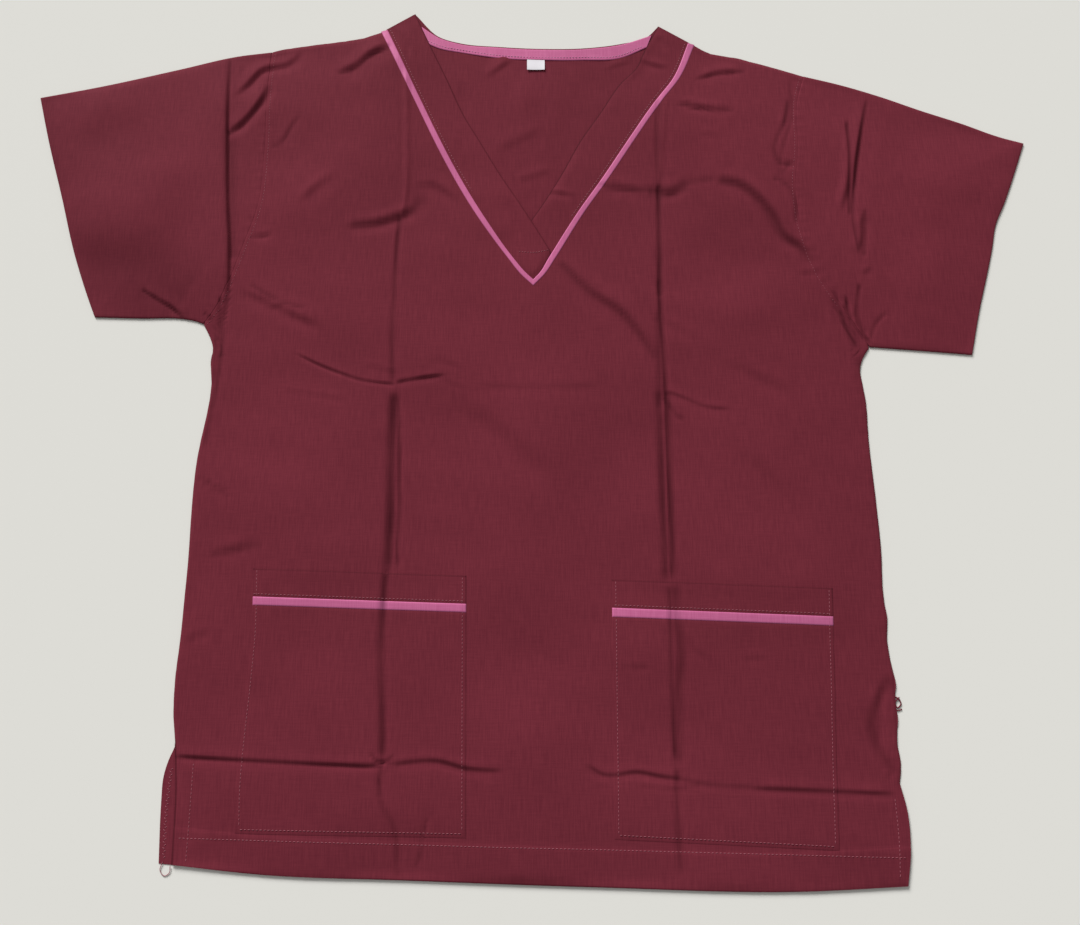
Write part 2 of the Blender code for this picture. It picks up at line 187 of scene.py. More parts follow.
# The deep lines of folds and creases, which also hold painted shade: the cloth's colour is darkened by their
# depth.
# Columns: depth, left width, right width, points.
VALLEYS = [
    (0.8, 3.6, 3.2, [(-112.5, 178), (-113.5, 150), (-115, 100), (-115, 50), (-113, 16)]),
    (1.4, 5, 7, [(-112, 14), (-111.8, -30), (-111.8, -60), (-110.8, -90), (-111.4, -120), (-111, -141)]),
    (1, 2.4, 2.2, [(-108.6, 12), (-106.3, -30), (-105.4, -60), (-104.4, -90), (-105.2, -120),
        (-104, -138)]),
    (1.1, 5, 5, [(-113, -134), (-114.6, -165), (-115.4, -200), (-112.2, -250), (-110.6, -288)]),
    (0.5, 4, 4, [(-110, -290), (-111, -314), (-100, -335), (-97, -371)]),
    (0.5, 8, 2.4, [(116, 300), (113.5, 262), (113.3, 196)]),
    (1.3, 4.5, 3, [(114, 206), (113.5, 180), (113, 140), (112, 96)]),
    (1.1, 3.6, 3, [(112, 116), (112.3, 80), (113.6, 50), (115, 4)]),
    (0.8, 3, 4, [(109.5, 84), (110, 50), (110, 20), (108, -4)]),
    (1.4, 2.4, 6.4, [(110.2, 16), (110.4, -30), (110.6, -60), (110.8, -90), (111.2, -120), (111, -150)]),
    (1.4, 6.6, 2.4, [(115.2, 14), (114.8, -30), (115, -60), (115.2, -90), (115.2, -120), (115.2, -148)]),
    (0.8, 3, 2.6, [(113, -149), (112.7, -200), (113, -250), (113.6, -286)]),
    (0.8, 8, 5, [(117, -149), (118.6, -180), (120.5, -205), (118, -230), (116.8, -250), (116, -290)]),
    (0.5, 5, 5, [(115, -290), (114, -314), (116, -369)]),
    (0.6, 1.8, 1.8, [(-196, 46), (-176, 36), (-159, 29), (-142, 23), (-110, 18.5)]),
    (0.6, 2.4, 3.6, [(-111, 20.5), (-91, 24), (-70, 27)]),
    (0.7, 2.8, 3.2, [(-276, -281.5), (-221, -284.5), (-160, -287.5), (-108, -289.5)]),
    (0.5, 4, 4, [(-104, -288), (-67, -286), (-48, -291), (-18, -293)]),
    (0.5, 3.6, 3.6, [(46, -288), (56, -295), (86, -294), (102, -297), (119, -299)]),
    (0.8, 6, 1.4, [(-262, 60), (-256.5, 96), (-257.5, 140), (-262.5, 191), (-268.5, 270), (-272, 340)]),
    (0.5, 3, 9, [(-256, 130), (-259, 170), (-262, 214), (-266, 250)]),
    # These two broad, shallow troughs are mostly painted shade: they darken the left sleeve's lower part and
    # its cuff edge.
    (0.35, 60, 60, [(-416, 168), (-372, 128), (-320, 112), (-288, 96)]),
    (0.3, 16, 30, [(-443, 330), (-428, 240), (-412, 160), (-398, 110)]),
    (0.9, 2.2, 2.2, [(-121, -279), (-112, -286), (-102, -281)]),
    (0.8, 2, 2.6, [(-110, -284), (-113, -298), (-112, -312)]),
    (0.6, 1.6, 2.2, [(-76, -326), (-79, -344), (-83, -362)]),
    (0.8, 4, 4, [(-235, 304), (-243, 283), (-256, 265), (-269, 253)]),
    (0.7, 3.4, 3.4, [(-174, 315), (-157, 323), (-146, 334), (-126, 345)]),
    (0.9, 4, 2.4, [(305, 292), (297, 262), (291, 232), (286, 200), (283, 178), (286, 134)]),
    (1, 3.4, 2.4, [(284, 268), (283.5, 232), (282, 206), (280, 172)]),
    (0.8, 3, 1.8, [(-264, 98), (-263.5, 70), (-259, 42)]),
    (0.6, 2, 2, [(-277, 84), (-269.5, 76), (-265, 56)]),
    (0.7, 2.2, 1.6, [(258, 99), (269, 70), (279, 52)]),
    (0.7, 2.4, 1.8, [(271.5, 99), (275, 76), (285, 58)]),
    (0.6, 2, 1.6, [(265, 88), (273, 65), (281, 50)]),
    (0.6, 2, 2, [(-204, 274), (-212, 262), (-220, 247), (-229, 241)]),
    (0.5, 2, 2, [(-242, 153.5), (-232, 153.5), (-222, 156.5)]),
    (0.5, 2.4, 3.6, [(237, 312), (235.5, 272), (224, 232), (222.5, 216), (232, 226)]),
    (0.7, 3, 4, [(294, 180), (293, 158), (290, 134)]),
    (0.9, 8, 6, [(244, 128), (236, 143), (222, 155), (213, 174), (201, 191), (188, 203), (164, 209)]),
    (0.7, 3.4, 5, [(166, 209), (138, 205), (116, 199), (84, 199), (58, 204)]),
    (0.7, 4, 3, [(233, 290), (229, 268), (218, 236), (222, 225), (236, 225)]),
    (0.7, 3, 3, [(214, 210), (226, 205), (232, 190), (233, 166)]),
    (0.8, 6, 8, [(104, 196), (122, 195), (140, 203)]),
    (0.6, 7, 6, [(-156, 164), (-125, 169), (-104, 178), (-93, 192)]),
    (0.6, 2.6, 3.4, [(130, 286), (154, 280), (184, 277)]),
    (0.5, 3, 3.6, [(150, 310), (172, 316), (196, 318)]),
    (0.9, 2.6, 3.6, [(262, 104), (268, 78), (278, 46), (281, 30)]),
    (0.8, 3, 3, [(284, 110), (281, 84), (286, 62), (291, 54)]),
    (0.7, 2.4, 2.4, [(272, 96), (274, 72), (282, 52)]),
    (0.6, 2.6, 2.6, [(306, 84), (296, 74), (290, 60)]),
    (0.8, 2.6, 2.6, [(-259, 72), (-259.5, 50), (-261, 20), (-264, -4), (-268, -36)]),
    (0.5, 2.2, 2.2, [(-265, 62), (-264.5, 44), (-265, 18)]),
    (0.6, 2.6, 3.4, [(-240, 110), (-217, 96), (-190, 86)]),
    (0.8, 2.4, 2.4, [(-332, 105), (-316, 95), (-302, 86), (-290, 74)]),
    (0.6, 4, 6, [(26, 132), (54, 102), (79, 84), (97, 60), (109, 38)]),
    (0.5, 3, 3, [(112, 8), (119, -2), (128, -13)]),
    (0.8, 5, 7, [(286, -222), (273, -240), (267, -257), (271, -276), (283, -294)]),
    (0.6, 3.4, 4.6, [(168, -305), (209, -307), (282, -310)]),
    (0.4, 3.4, 4.6, [(112, -298), (140, -303), (172, -305)]),
    (0.5, 2.4, 3.4, [(-272, -58), (-258, -66), (-244, -76)]),
    (0.5, 4, 6, [(-256, -124), (-238, -120), (-214, -117)]),
]

# Soft creases with one steep side. The columns of the press-folds.
CREASES = [
    (2.2, -0.2, 46, 10, 2, [(-263, 66), (-258, 96), (-259, 140), (-264, 191), (-270, 270),
        (-273.5, 345)]),
    (-1.4, 1.2, 12, 14, 5.6, [(-205, 344), (-218, 327), (-243, 319), (-255, 303), (-270, 288)]),
    (-1.9, 1.3, 10, 16, 6.4, [(-233, 306), (-242, 284), (-255, 266), (-270, 252)]),
    (0.4, -0.4, 8, 9, 3, [(-228, 240), (-220, 246), (-213, 261), (-204, 273)]),
    (0.35, -0.5, 6, 9, 3, [(-242, 154), (-222, 157)]),
    (0.9, -0.8, 12, 10, 3.2, [(-332, 105), (-318, 96), (-305, 89), (-294, 75)]),
    (1.6, -1.2, 16, 18, 7.5, [(-175, 315), (-157, 324), (-146, 335), (-124, 347)]),
    (0.9, -0.6, 12, 16, 8, [(-203, 184), (-184, 204), (-168, 216)]),
    (1.4, -1.3, 13, 13, 9, [(-166, 163), (-130, 168), (-111, 175), (-96, 183), (-94, 193)]),
    (0.9, -0.8, 13, 13, 6.5, [(-104, 204), (-86, 205), (-60, 186)]),
    (1.1, -1.1, 20, 15, 8, [(-250, 107), (-217, 90), (-170, 67)]),
    (0.35, -0.4, 7, 8, 3.6, [(-224, 87), (-205, 92)]),
    (0.5, -0.45, 10, 10, 4, [(-275, -61), (-246, -75)]),
    (0.8, -0.6, 12, 12, 7, [(-254, -124), (-222, -117)]),
    (0.5, -0.6, 9, 9, 3, [(-270, -191), (-250, -186)]),
    (1, -1, 34, 30, 20, [(-66, 10), (-30, -14), (0, -40), (28, -80)]),
    (1.6, -1.4, 18, 18, 8.5, [(21, 137), (54, 102), (79, 84), (96, 61), (110, 37)]),
    (0.6, -0.5, 11, 10, 5, [(112, 78), (126, 70), (144, 61)]),
    (0.7, -0.6, 18, 16, 8, [(160, 44), (195, 26), (226, 8)]),
    (0.8, -0.8, 28, 26, 16, [(168, -24), (214, -79), (234, -124)]),
    (0.9, -0.7, 15, 14, 8, [(60, 203), (85, 201), (110, 190)]),
    (1.6, -0.6, 13, 12, 7, [(110, 200), (122, 197), (138, 202)]),
    (1, -0.8, 11, 11, 4.6, [(130, 287), (154, 281), (182, 278)]),
    (0.9, -0.7, 12, 12, 4.6, [(152, 310), (172, 317), (194, 318)]),
    (0.4, -0.3, 9, 9, 4.6, [(150, 255), (174, 252)]),
    (-1.5, 2, 15, 16, 8, [(242, 128), (238, 142), (223, 154), (214, 174), (201, 192), (186, 204),
        (160, 209)]),
    (-0.7, 0.7, 8, 7, 3, [(217, 210), (228, 205), (233, 194), (234, 164)]),
    (0.35, -0.35, 7, 7, 3.2, [(222, 224), (238, 226)]),
    (-0.7, 0.6, 7, 8, 4.4, [(234, 288), (230, 272), (226, 258)]),
    (0.35, -0.35, 7, 7, 4, [(231, 120), (249, 121)]),
    (-1.4, 1.6, 20, 14, 5, [(305, 290), (297, 262), (290, 232), (285, 201), (282, 176)]),
    (-1.3, 1.3, 10, 10, 6.5, [(284, 264), (284, 235), (281, 208), (272, 172)]),
    (-1.1, 1, 12, 12, 5, [(290, 178), (289, 160), (286, 136)]),
    (0.5, -0.4, 10, 10, 5, [(286, 118), (296, 126)]),
    (-0.5, 0.5, 6, 6, 2.8, [(257, 95), (263, 60), (267, 34)]),
    (-0.7, 0.7, 6, 6, 2.8, [(268, 100), (272, 72), (281, 53)]),
    (-0.7, 0.6, 5, 5, 2.8, [(273, 58), (281, 34)]),
    (-0.7, 0.6, 7, 7, 3, [(278, 94), (281, 70), (292, 60)]),
    (-1, 0.9, 9, 8, 6, [(275, -222), (269, -276)]),
    (-0.4, 0.4, 5, 6, 3, [(280, -290), (274, -300)]),
    (0.8, -0.6, 8, 8, 4.6, [(121, -182), (131, -198), (140, -210)]),
    (0.35, -0.3, 8, 8, 4.6, [(71, -213), (98, -213)]),
    (0.35, -0.3, 8, 8, 4.6, [(169, -207), (189, -206)]),
    (-0.4, 0.4, 6, 6, 3, [(-78, -344), (-83, -364)]),
    (0.9, -0.4, 7, 7, 3.6, [(-122, -286), (-111, -285), (-101, -287)]),
]

# Broad swells with no steep side. Columns: height, left width, right width, points.
SWELLS = [
    (5, 90, 52, [(-425, 176), (-360, 170), (-285, 164)]),
    (1.6, 34, 34, [(-415, 270), (-340, 290)]),
    (1.4, 60, 60, [(-200, 250), (-190, 150)]),
    (1.2, 60, 60, [(-20, 60), (20, -40), (-30, -140)]),
    (1.4, 60, 60, [(180, 130), (200, 60)]),
    (1.2, 60, 60, [(-190, -40), (-190, -110)]),
    (1.3, 60, 60, [(10, -200), (0, -330)]),
    (1.3, 55, 55, [(330, 240), (400, 190)]),
    (1.3, 45, 45, [(310, 110), (370, 110)]),
    (1, 50, 50, [(200, -120), (240, -200)]),
]

# The creases of the back panel's inside, seen through the neck.
INSIDE = [
    (-0.7, -0.7, 3.5, 3.5, 1, [(-58, 325), (-59, 268)]),
    (1.1, -0.6, 14, 10, 5, [(-42, 311), (-30, 320), (-14, 334)]),
    (0.9, -0.6, 12, 10, 5, [(-12, 209), (2, 213), (22, 220)]),
    (0.8, -0.7, 24, 20, 12, [(-30, 238), (-8, 248), (14, 262)]),
    (0.8, -0.5, 12, 12, 6, [(60, 316), (84, 326), (96, 330)]),
    (0.8, 0.8, 50, 50, 1, [(-20, 290), (40, 290)]),
]

# The creases of the two neckbands only.
BAND_CREASES = [
    (0.8, -0.8, 7, 7, 4, [(10, 199), (24, 197), (44, 193)]),
    (0.9, -0.6, 9, 8, 4, [(97, 332), (112, 326), (128, 321)]),
    (-0.8, -0.8, 4, 5, 1, [(118, 356), (124, 338)]),
    (0.9, -0.9, 8, 8, 4, [(-124, 366), (-112, 350), (-104, 330)]),
    (0.5, -0.5, 6, 6, 4, [(-60, 236), (-62, 250), (-70, 258)]),
]

# The four long press-folds, as lines for the meshes to follow, each climbing or running to the right.
FOLD_LEFT = [
    (-97, -400), (-98, -350), (-104, -320), (-110, -289), (-111, -239), (-113, -193), (-114, -150),
    (-107, -134), (-107, -120), (-106.7, -90), (-108, -60), (-110, 12), (-113, 30), (-113, 96),
    (-115, 150), (-109, 200), (-109.5, 270), (-112.5, 324), (-115, 380),
]
FOLD_RIGHT = [
    (116, -400), (114, -314), (114, -284), (115, -193), (115, -150), (113, -140), (113, -60), (112.6, 10),
    (112, 51), (111, 87), (112, 110), (114, 162), (114, 194), (122, 262), (124, 292), (126, 380),
]
FOLD_HIGH = [
    (-290, 50), (-240, 51), (-196, 47), (-176, 37), (-159, 30), (-142, 24), (-112, 20), (-91, 25),
    (-72, 28), (-56, 24), (-30, 18), (27, 17), (60, 18), (90, 17), (113, 14), (131, 7), (144, 1),
    (168, -3), (290, -6),
]
FOLD_LOW = [
    (-290, -280), (-276, -281), (-221, -284), (-160, -287), (-110, -289), (-98, -287), (-67, -285),
    (-48, -290), (-20, -292), (20, -290), (46, -287.5), (56, -294), (86, -293), (102, -296), (119, -298),
    (150, -302), (174, -305), (209, -306), (290, -309),
]

# Rows of stitches, as (x, y) points.
HEM_STITCH = [
    (-264, -341), (-172, -343.5), (-96, -345.5), (-20, -347.5), (40, -348.8), (85, -350), (146, -351.5),
    (206, -353), (286, -355),
]
VENT_LEFT_STITCH = [(-256, -286), (-256, -320), (-256.5, -360)]
VENT_LEFT_BACK_STITCH = [(-273, -290), (-274.5, -320), (-273.5, -356)]
VENT_RIGHT_STITCH = [(280, -312), (280.5, -340), (279, -372)]
BAR_STITCH = [(-9, 140), (5, 139.3), (18, 142)]


# ---- lines and surfaces ----


def smoothstep(t):
    """3t^2 - 2t^3, with t kept from 0 to 1."""
    t = np.clip(t, 0.0, 1.0)
    return t * t * (3.0 - 2.0 * t)


def length_of(line):
    """The sum of the steps along a line."""
    return float(np.sum(np.hypot(*np.diff(line, axis=0).T)))


def run_of(line):
    """The length run at each point of a line, from 0."""
    return np.concatenate([[0.0], np.cumsum(np.hypot(*np.diff(line, axis=0).T))])


def places_on(line, run, at):
    """The points of a line at these values of its run."""
    return np.stack([np.interp(at, run, line[:, 0]), np.interp(at, run, line[:, 1])], axis=1)


def left_of(forward):
    """Directions turned a quarter to the left: (-y, x)."""
    return np.stack([-forward[:, 1], forward[:, 0]], axis=1)


def headings(line):
    """The direction of a line at each point, one long."""
    forward = np.gradient(line, axis=0)
    return forward / np.hypot(*forward.T)[:, None]


def smooth(points, count):
    """A cubic through the points at even places, with slopes from the neighbours by chord length."""
    points = np.array(points, float)
    chord = run_of(points)
    if len(points) == 2:
        slope = np.repeat(np.diff(points, axis=0) / chord[-1], 2, axis=0)
    else:
        slope = np.gradient(points, chord, axis=0)
    at = np.linspace(0.0, chord[-1], count)
    index = np.clip(np.searchsorted(chord, at, side="right") - 1, 0, len(chord) - 2)
    width = (chord[index + 1] - chord[index])[:, None]
    t = (at[:, None] - chord[index][:, None]) / width
    start = (1.0 + 2.0 * t) * (1.0 - t) ** 2 * points[index]
    start = start + t * (1.0 - t) ** 2 * width * slope[index]
    end = t * t * (3.0 - 2.0 * t) * points[index + 1]
    end = end + t * t * (t - 1.0) * width * slope[index + 1]
    return start + end


def joined(*edges, spacing=4.0):
    """The edges one after another, each smoothed by itself, so that corners between edges stay sharp."""
    runs = []
    for edge in edges:
        runs.append(smooth(edge, max(3, int(length_of(np.array(edge, float)) / spacing) + 2)))
    line = np.concatenate(runs)
    keep = np.concatenate([[True], np.hypot(*np.diff(line, axis=0).T) > 1e-6])
    return line[keep]


def across(*edges):
    """x as a function of y along edges that climb."""
    line = joined(*edges)
    return lambda y: np.interp(y, line[:, 1], line[:, 0])


def upward(*edges):
    """y as a function of x along edges that run to the right."""
    line = joined(*edges)
    return lambda x: np.interp(x, line[:, 0], line[:, 1])


def level(value):
    """A net line at one height all along."""
    return lambda other: np.full(np.shape(other), float(value))


def beside(x, y, line):
    """Distance from a line, positive on its left, and the part of its length that is nearest, 0 to 1."""
    steps = np.diff(line, axis=0)
    lengths = np.hypot(*steps.T)
    starts = np.concatenate([[0.0], np.cumsum(lengths)])
    nearest = np.full(np.shape(x), np.inf)
    side = np.ones(np.shape(x))
    along = np.zeros(np.shape(x))
    for start, step, length, before in zip(line, steps, lengths, starts):
        dx = x - start[0]
        dy = y - start[1]
        part = np.clip((dx * step[0] + dy * step[1]) / length**2, 0.0, 1.0)
        away = np.hypot(dx - part * step[0], dy - part * step[1])
        closer = away < nearest
        nearest = np.where(closer, away, nearest)
        side = np.where(closer, np.sign(step[0] * dy - step[1] * dx), side)
        along = np.where(closer, (before + part * length) / starts[-1], along)
    return nearest * np.where(side == 0.0, 1.0, side), along


def flank(distance, width, peaked):
    """1 at the line and 0 a width away: (1 - t)^2 (1 + 2t), or nearer (1 - t)^2 where the line is peaked."""
    t = np.clip(distance / width, 0.0, 1.0)
    return (1.0 - t) ** 2 * (1.0 + 2.0 * t * (1.0 - peaked))


def relief(x, y, folds, peaked, fade):
    """The sum of the folds: each flank falls from its own height at the line to nothing a width away.

    The two heights blend over the wall's width, and both ends fade over this part of the length.
    """
    total = np.zeros(np.shape(x))
    for left_height, right_height, left_width, right_width, wall, points in folds:
        line = smooth(points, 3 + 4 * len(points))
        reach = max(left_width, right_width) + wall
        low = line.min(axis=0) - reach
        high = line.max(axis=0) + reach
        near = (x > low[0]) & (x < high[0]) & (y > low[1]) & (y < high[1])
        if not near.any():
            continue
        distance, along = beside(x[near], y[near], line)
        left = left_height * flank(np.maximum(distance, 0.0), left_width, peaked)
        right = right_height * flank(np.maximum(-distance, 0.0), right_width, peaked)
        blend = smoothstep(0.5 + distance / wall) if left_height != right_height else distance > 0.0
        ends = smoothstep(along / fade) * smoothstep((1.0 - along) / fade)
        ripple = 1.0 + 0.22 * np.sin(9.0 * along + points[0][0]) * (left_width < 40)
        total[near] += (right + (left - right) * blend) * ends * ripple
    return total


def even_relief(x, y, rows, sign, peaked, fade):
    """The relief of rows with one height for both sides: sign times that height."""
    folds = [(sign * height, sign * height, *sides, 1.0, points) for height, *sides, points in rows]
    return relief(x, y, folds, peaked, fade)


def waves(x, y, seed, count, longest, shortest):
    """A sum of count sine waves in seeded directions, lengths and phases, from -1 to 1 or so."""
    rng = np.random.default_rng(seed)
    total = np.zeros(np.shape(x))
    for _ in range(count):
        turn = rng.uniform(0.0, math.pi)
        length = rng.uniform(shortest, longest)
        phase = rng.uniform(0.0, 2.0 * math.pi)
        along = x * math.cos(turn) + y * math.sin(turn)
        total = total + np.sin(2.0 * math.pi * along / length + phase)
    return total / math.sqrt(count)


OUTLINE = joined(
    HEM, VENT_RIGHT, SIDE_RIGHT, SLEEVE_RIGHT_UNDER, SLEEVE_RIGHT_CUFF[::-1], SLEEVE_RIGHT_TOP[::-1],
    SHOULDER_RIGHT[::-1], NECK_POINT_RIGHT[::-1], BAND_RIGHT_INNER[::-1], BAND_LEFT_INNER[2:],
    NECK_POINT_LEFT[::-1], SHOULDER_LEFT[::-1], SLEEVE_LEFT_TOP, SLEEVE_LEFT_CUFF,
    SLEEVE_LEFT_UNDER[::-1], SIDE_LEFT[::-1], VENT_LEFT[::-1], spacing=14.0,
)
SEAM_LEFT = joined(ARMHOLE_LEFT, spacing=10.0)
SEAM_RIGHT = joined(ARMHOLE_RIGHT, spacing=10.0)
SIDE_SEAMS = (joined(SIDE_LEFT, spacing=14.0), joined(SIDE_RIGHT, spacing=14.0))
SHOULDER_SEAMS = (joined(SHOULDER_LEFT, spacing=20.0), joined(SHOULDER_RIGHT, spacing=20.0))
HEM_LINE = joined(HEM, spacing=30.0)


def sizes():
    """The scene's sizes and amounts."""
    return bpy.context.scene.scrub_top_sizes


def colours():
    """The scene's colours."""
    return bpy.context.scene.scrub_top_colours


def puckers(x, y):
    """Small ripples across a seam, dying out 9 mm from it: a sine along the seam times a falling flank."""
    total = np.zeros(np.shape(x))
    for line, ripple, height in (
        (SEAM_LEFT, 27.0, 0.12), (SEAM_RIGHT, 31.0, 0.14),
        (SIDE_SEAMS[0], 30.0, 0.22), (SIDE_SEAMS[1], 34.0, 0.34),
    ):
        distance, along = beside(x, y, line)
        uneven = np.sin(2.0 * math.pi * ripple * along + 3.0 * np.sin(11.0 * along))
        total += height * uneven * flank(np.abs(distance), 10.0, 0.0)
    return total


def valleys(x, y):
    """The troughs: minus each row's depth at its line."""
    return even_relief(x, y, VALLEYS, -1.0, 0.15, 0.06)


def fold_tone(x, y):
    """Painted shade in the troughs: the cloth's colour darkened by a share of their depth."""
    return sizes().fold_shade * np.clip(-valleys(x, y), 0.0, DARKEST_TROUGH)


def painted_edge_shadow(distance, share):
    """Painted shadow along a folded edge: darkening of this share at the edge, gone 1.5 mm inside it."""
    return share * smoothstep((1.5 - distance) / 0.8)


def upper(x, y):
    """Height of the upper sheet's face: a low loft inside the outline, the folds, and slight unevenness."""
    size = sizes()
    to_edge = np.abs(beside(x, y, OUTLINE)[0])
    loft = size.loft / MM * np.sin(0.5 * math.pi * np.clip(to_edge / LOFT_REACH, 0.0, 1.0))
    folds = relief(x, y, PRESSED, 0.5, 0.12) + valleys(x, y)
    folds = folds + relief(x, y, CREASES, 0.15, 0.28)
    folds = folds + even_relief(x, y, SWELLS, 1.0, 0.0, 0.45)
    uneven = 0.55 * waves(x, y, 5, 7, 190.0, 90.0) + 0.10 * waves(x, y, 8, 9, 60.0, 24.0)
    inside = smoothstep(to_edge / 7.0)
    rise = loft + size.fold_depth * folds * (0.3 + 0.7 * inside) + (uneven + puckers(x, y)) * inside
    return UPPER_BASE + np.maximum(rise, -0.55)


def rolled(distance, radius):
    """A turned edge's quarter round: sqrt(1 - (1 - d/r)^2)."""
    t = np.clip(distance / radius, 0.0, 1.0)
    return np.sqrt(np.maximum(1.0 - (1.0 - t) ** 2, 0.0))


def lower(x, y):
    """Height of the back panel's inner face: flat on the floor, with the folds seen through the neck."""
    inside = smoothstep((y - 150.0) / 40.0) * smoothstep((345.0 - y) / 12.0)
    folds = relief(x, y, INSIDE, 0.3, 0.3) + 0.25 * waves(x, y, 12, 6, 80.0, 35.0)
    return LOWER_TOP + np.maximum(folds, 0.0) * inside


# ---- meshes ----


def spans(steps, pull):
    """For each line of a net: the span it is in, and how far across that span, closer at the span's ends."""
    index = []
    part = []
    for number, count in enumerate(steps):
        t = np.arange(count) / count
        index.append(np.full(count, number))
        part.append(t - pull * np.sin(2.0 * math.pi * t) / (2.0 * math.pi))
    index.append([len(steps) - 1])
    part.append([1.0])
    return np.concatenate(index), np.concatenate(part)


def net(columns, column_steps, rows, row_steps, pull):
    """Where each column line x = X(s, y) meets each row line y = Y(t, x), by putting one in the other."""
    column_span, column_part = spans(column_steps, pull)
    row_span, row_part = spans(row_steps, pull)
    shape = (len(row_part), len(column_part))
    down, over = np.indices(shape)
    x = np.zeros(shape)
    y = np.zeros(shape)
    for _ in range(16):
        lines = np.stack([row(x) for row in rows])
        first = lines[row_span[down], down, over]
        second = lines[row_span[down] + 1, down, over]
        y = first + (second - first) * row_part[down]
        lines = np.stack([column(y) for column in columns])
        first = lines[column_span[over], down, over]
        second = lines[column_span[over] + 1, down, over]
        x = first + (second - first) * column_part[over]
    return x, y


def quads(index):
    """The faces between neighbouring entries of a grid of vertex numbers."""
    corners = (index[:-1, :-1], index[:-1, 1:], index[1:, 1:], index[1:, :-1])
    return np.stack(corners, axis=-1).reshape(-1, 4)


def beside_line(line, offsets):
    """Copies of a net line moved over by each of the offsets."""
    return [lambda other, offset=offset: line(other) + offset for offset in offsets]


def parts_of(line):
    """The part of an edge's length reached at each of its points."""
    run = run_of(line)
    return run / run[-1]


def at_parts(points, parts):
    """Points at these parts of a smoothed edge's length."""
    line = smooth(points, 400)
    return places_on(line, parts_of(line), parts)


def edge_parts(length, spacing, close=(0.0, 0.25, 0.7, 1.3, 2.1)):
    """Parts of a width with extra places close to both ends, for a rolled edge, and even ones between."""
    close = np.array(close)
    count = max(2, int(round((length - 2.0 * close[-1]) / spacing)))
    middle = np.linspace(close[-1], length - close[-1], count + 1)[1:-1]
    return np.concatenate([close, middle, (length - close)[::-1]]) / length


def make_piece(name, points, faces, tone=None):
    """A mesh object from arrays of points in millimetres and of faces; its grain is a UV map in metres."""
    used, index = np.unique(faces, return_inverse=True)
    points = points[used]
    faces = index.reshape(faces.shape)
    mesh = bpy.data.meshes.new(name)
    mesh.from_pydata(points * MM, [], faces.tolist())
    uv = mesh.uv_layers.new(name="grain")
    uv.data.foreach_set("uv", (points[faces.reshape(-1), :2] * MM).astype(np.float32).reshape(-1))
    # The painted shade of troughs and folded edges, kept on the points.
    if tone is not None:
        held = mesh.attributes.new("fold_tone", "FLOAT", "POINT")
        held.data.foreach_set("value", tone.reshape(-1)[used].astype(np.float32))
    mesh.polygons.foreach_set("use_smooth", np.ones(len(faces), bool))
    mesh.update()
    piece = bpy.data.objects.new(name, mesh)
    bpy.context.scene.collection.objects.link(piece)
    return piece


def upright(points, faces):
    """The faces, turned over if together they face down."""
    a, b, c = (points[faces[:, corner]] for corner in (0, 1, 2))
    turn = np.sum((b - a)[:, 0] * (c - a)[:, 1] - (b - a)[:, 1] * (c - a)[:, 0])
    return faces if turn > 0 else faces[:, ::-1]


def sheet_of(name, x, y, z, tone=None):
    """A sheet from grids of x, y and z, facing up."""
    points = np.stack([x, y, z], axis=-1).reshape(-1, 3)
    faces = upright(points, quads(np.arange(x.size).reshape(x.shape)))
    return make_piece(name, points, faces, tone)


def thicken(piece, thickness):
    """Gives a sheet its wall, downwards from its face; its border edges, those of one face, stay sharp."""
    mesh = piece.data
    edge_of_corner = np.empty(len(mesh.loops), np.int32)
    mesh.loops.foreach_get("edge_index", edge_of_corner)
    border = np.bincount(edge_of_corner, minlength=len(mesh.edges)) == 1
    sharp = mesh.attributes.new("sharp_edge", "BOOLEAN", "EDGE")
    sharp.data.foreach_set("value", border)
    wall = piece.modifiers.new("cloth thickness", "SOLIDIFY")
    wall.thickness = thickness
    wall.offset = -1.0
    wall.use_quality_normals = True


def hand_in(piece, finish, slot, node, thickness=None):
    """Gives a piece its wall where a thickness is given and its finish, hangs it on the root body, and hides
    the solid it stands for.
    """
    if thickness:
        thicken(piece, thickness)
    piece.data.materials.append(finish_named(finish))
    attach(piece, "root")
    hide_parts(node)


# ---- finishes ----


def new_material(name):
    """A node material and what fills it: makers of nodes and colour ramps, and the shader's own inputs.

    A feed gives inputs by name or number. A socket in it is linked, and anything else is the value.
    """
    made = bpy.data.materials.new(name)
    made.use_nodes = True
    tree = made.node_tree

    def fill(node, feed):
        """Links or sets each input in the feed."""
        for key, value in feed.items():
            if isinstance(value, bpy.types.NodeSocket):
                tree.links.new(value, node.inputs[key])
            else:
                node.inputs[key].default_value = value

    def add(kind, feed, output, **settings):
        """Makes a node and gives back one of its outputs."""
        node = tree.nodes.new(kind)
        for key, value in settings.items():
            setattr(node, key, value)
        fill(node, feed)
        return node.outputs[output]

    def ramp(factor, low, high):
        """Makes a colour ramp from low at 0 to high at 1."""
        node = tree.nodes.new("ShaderNodeValToRGB")
        node.color_ramp.elements[0].color = low
        node.color_ramp.elements[1].color = high
        fill(node, {"Fac": factor})
        return node.outputs["Color"]

    def shade(**feed):
        """Fills the shader's inputs, whose spaces are written as underscores."""
        fill(tree.nodes["Principled BSDF"], {key.replace("_", " "): value for key, value in feed.items()})

    return made, add, ramp, shade


def shade_of(colour, factor):
    """A colour times a factor."""
    return tuple(channel * factor for channel in colour[:3]) + (1.0,)


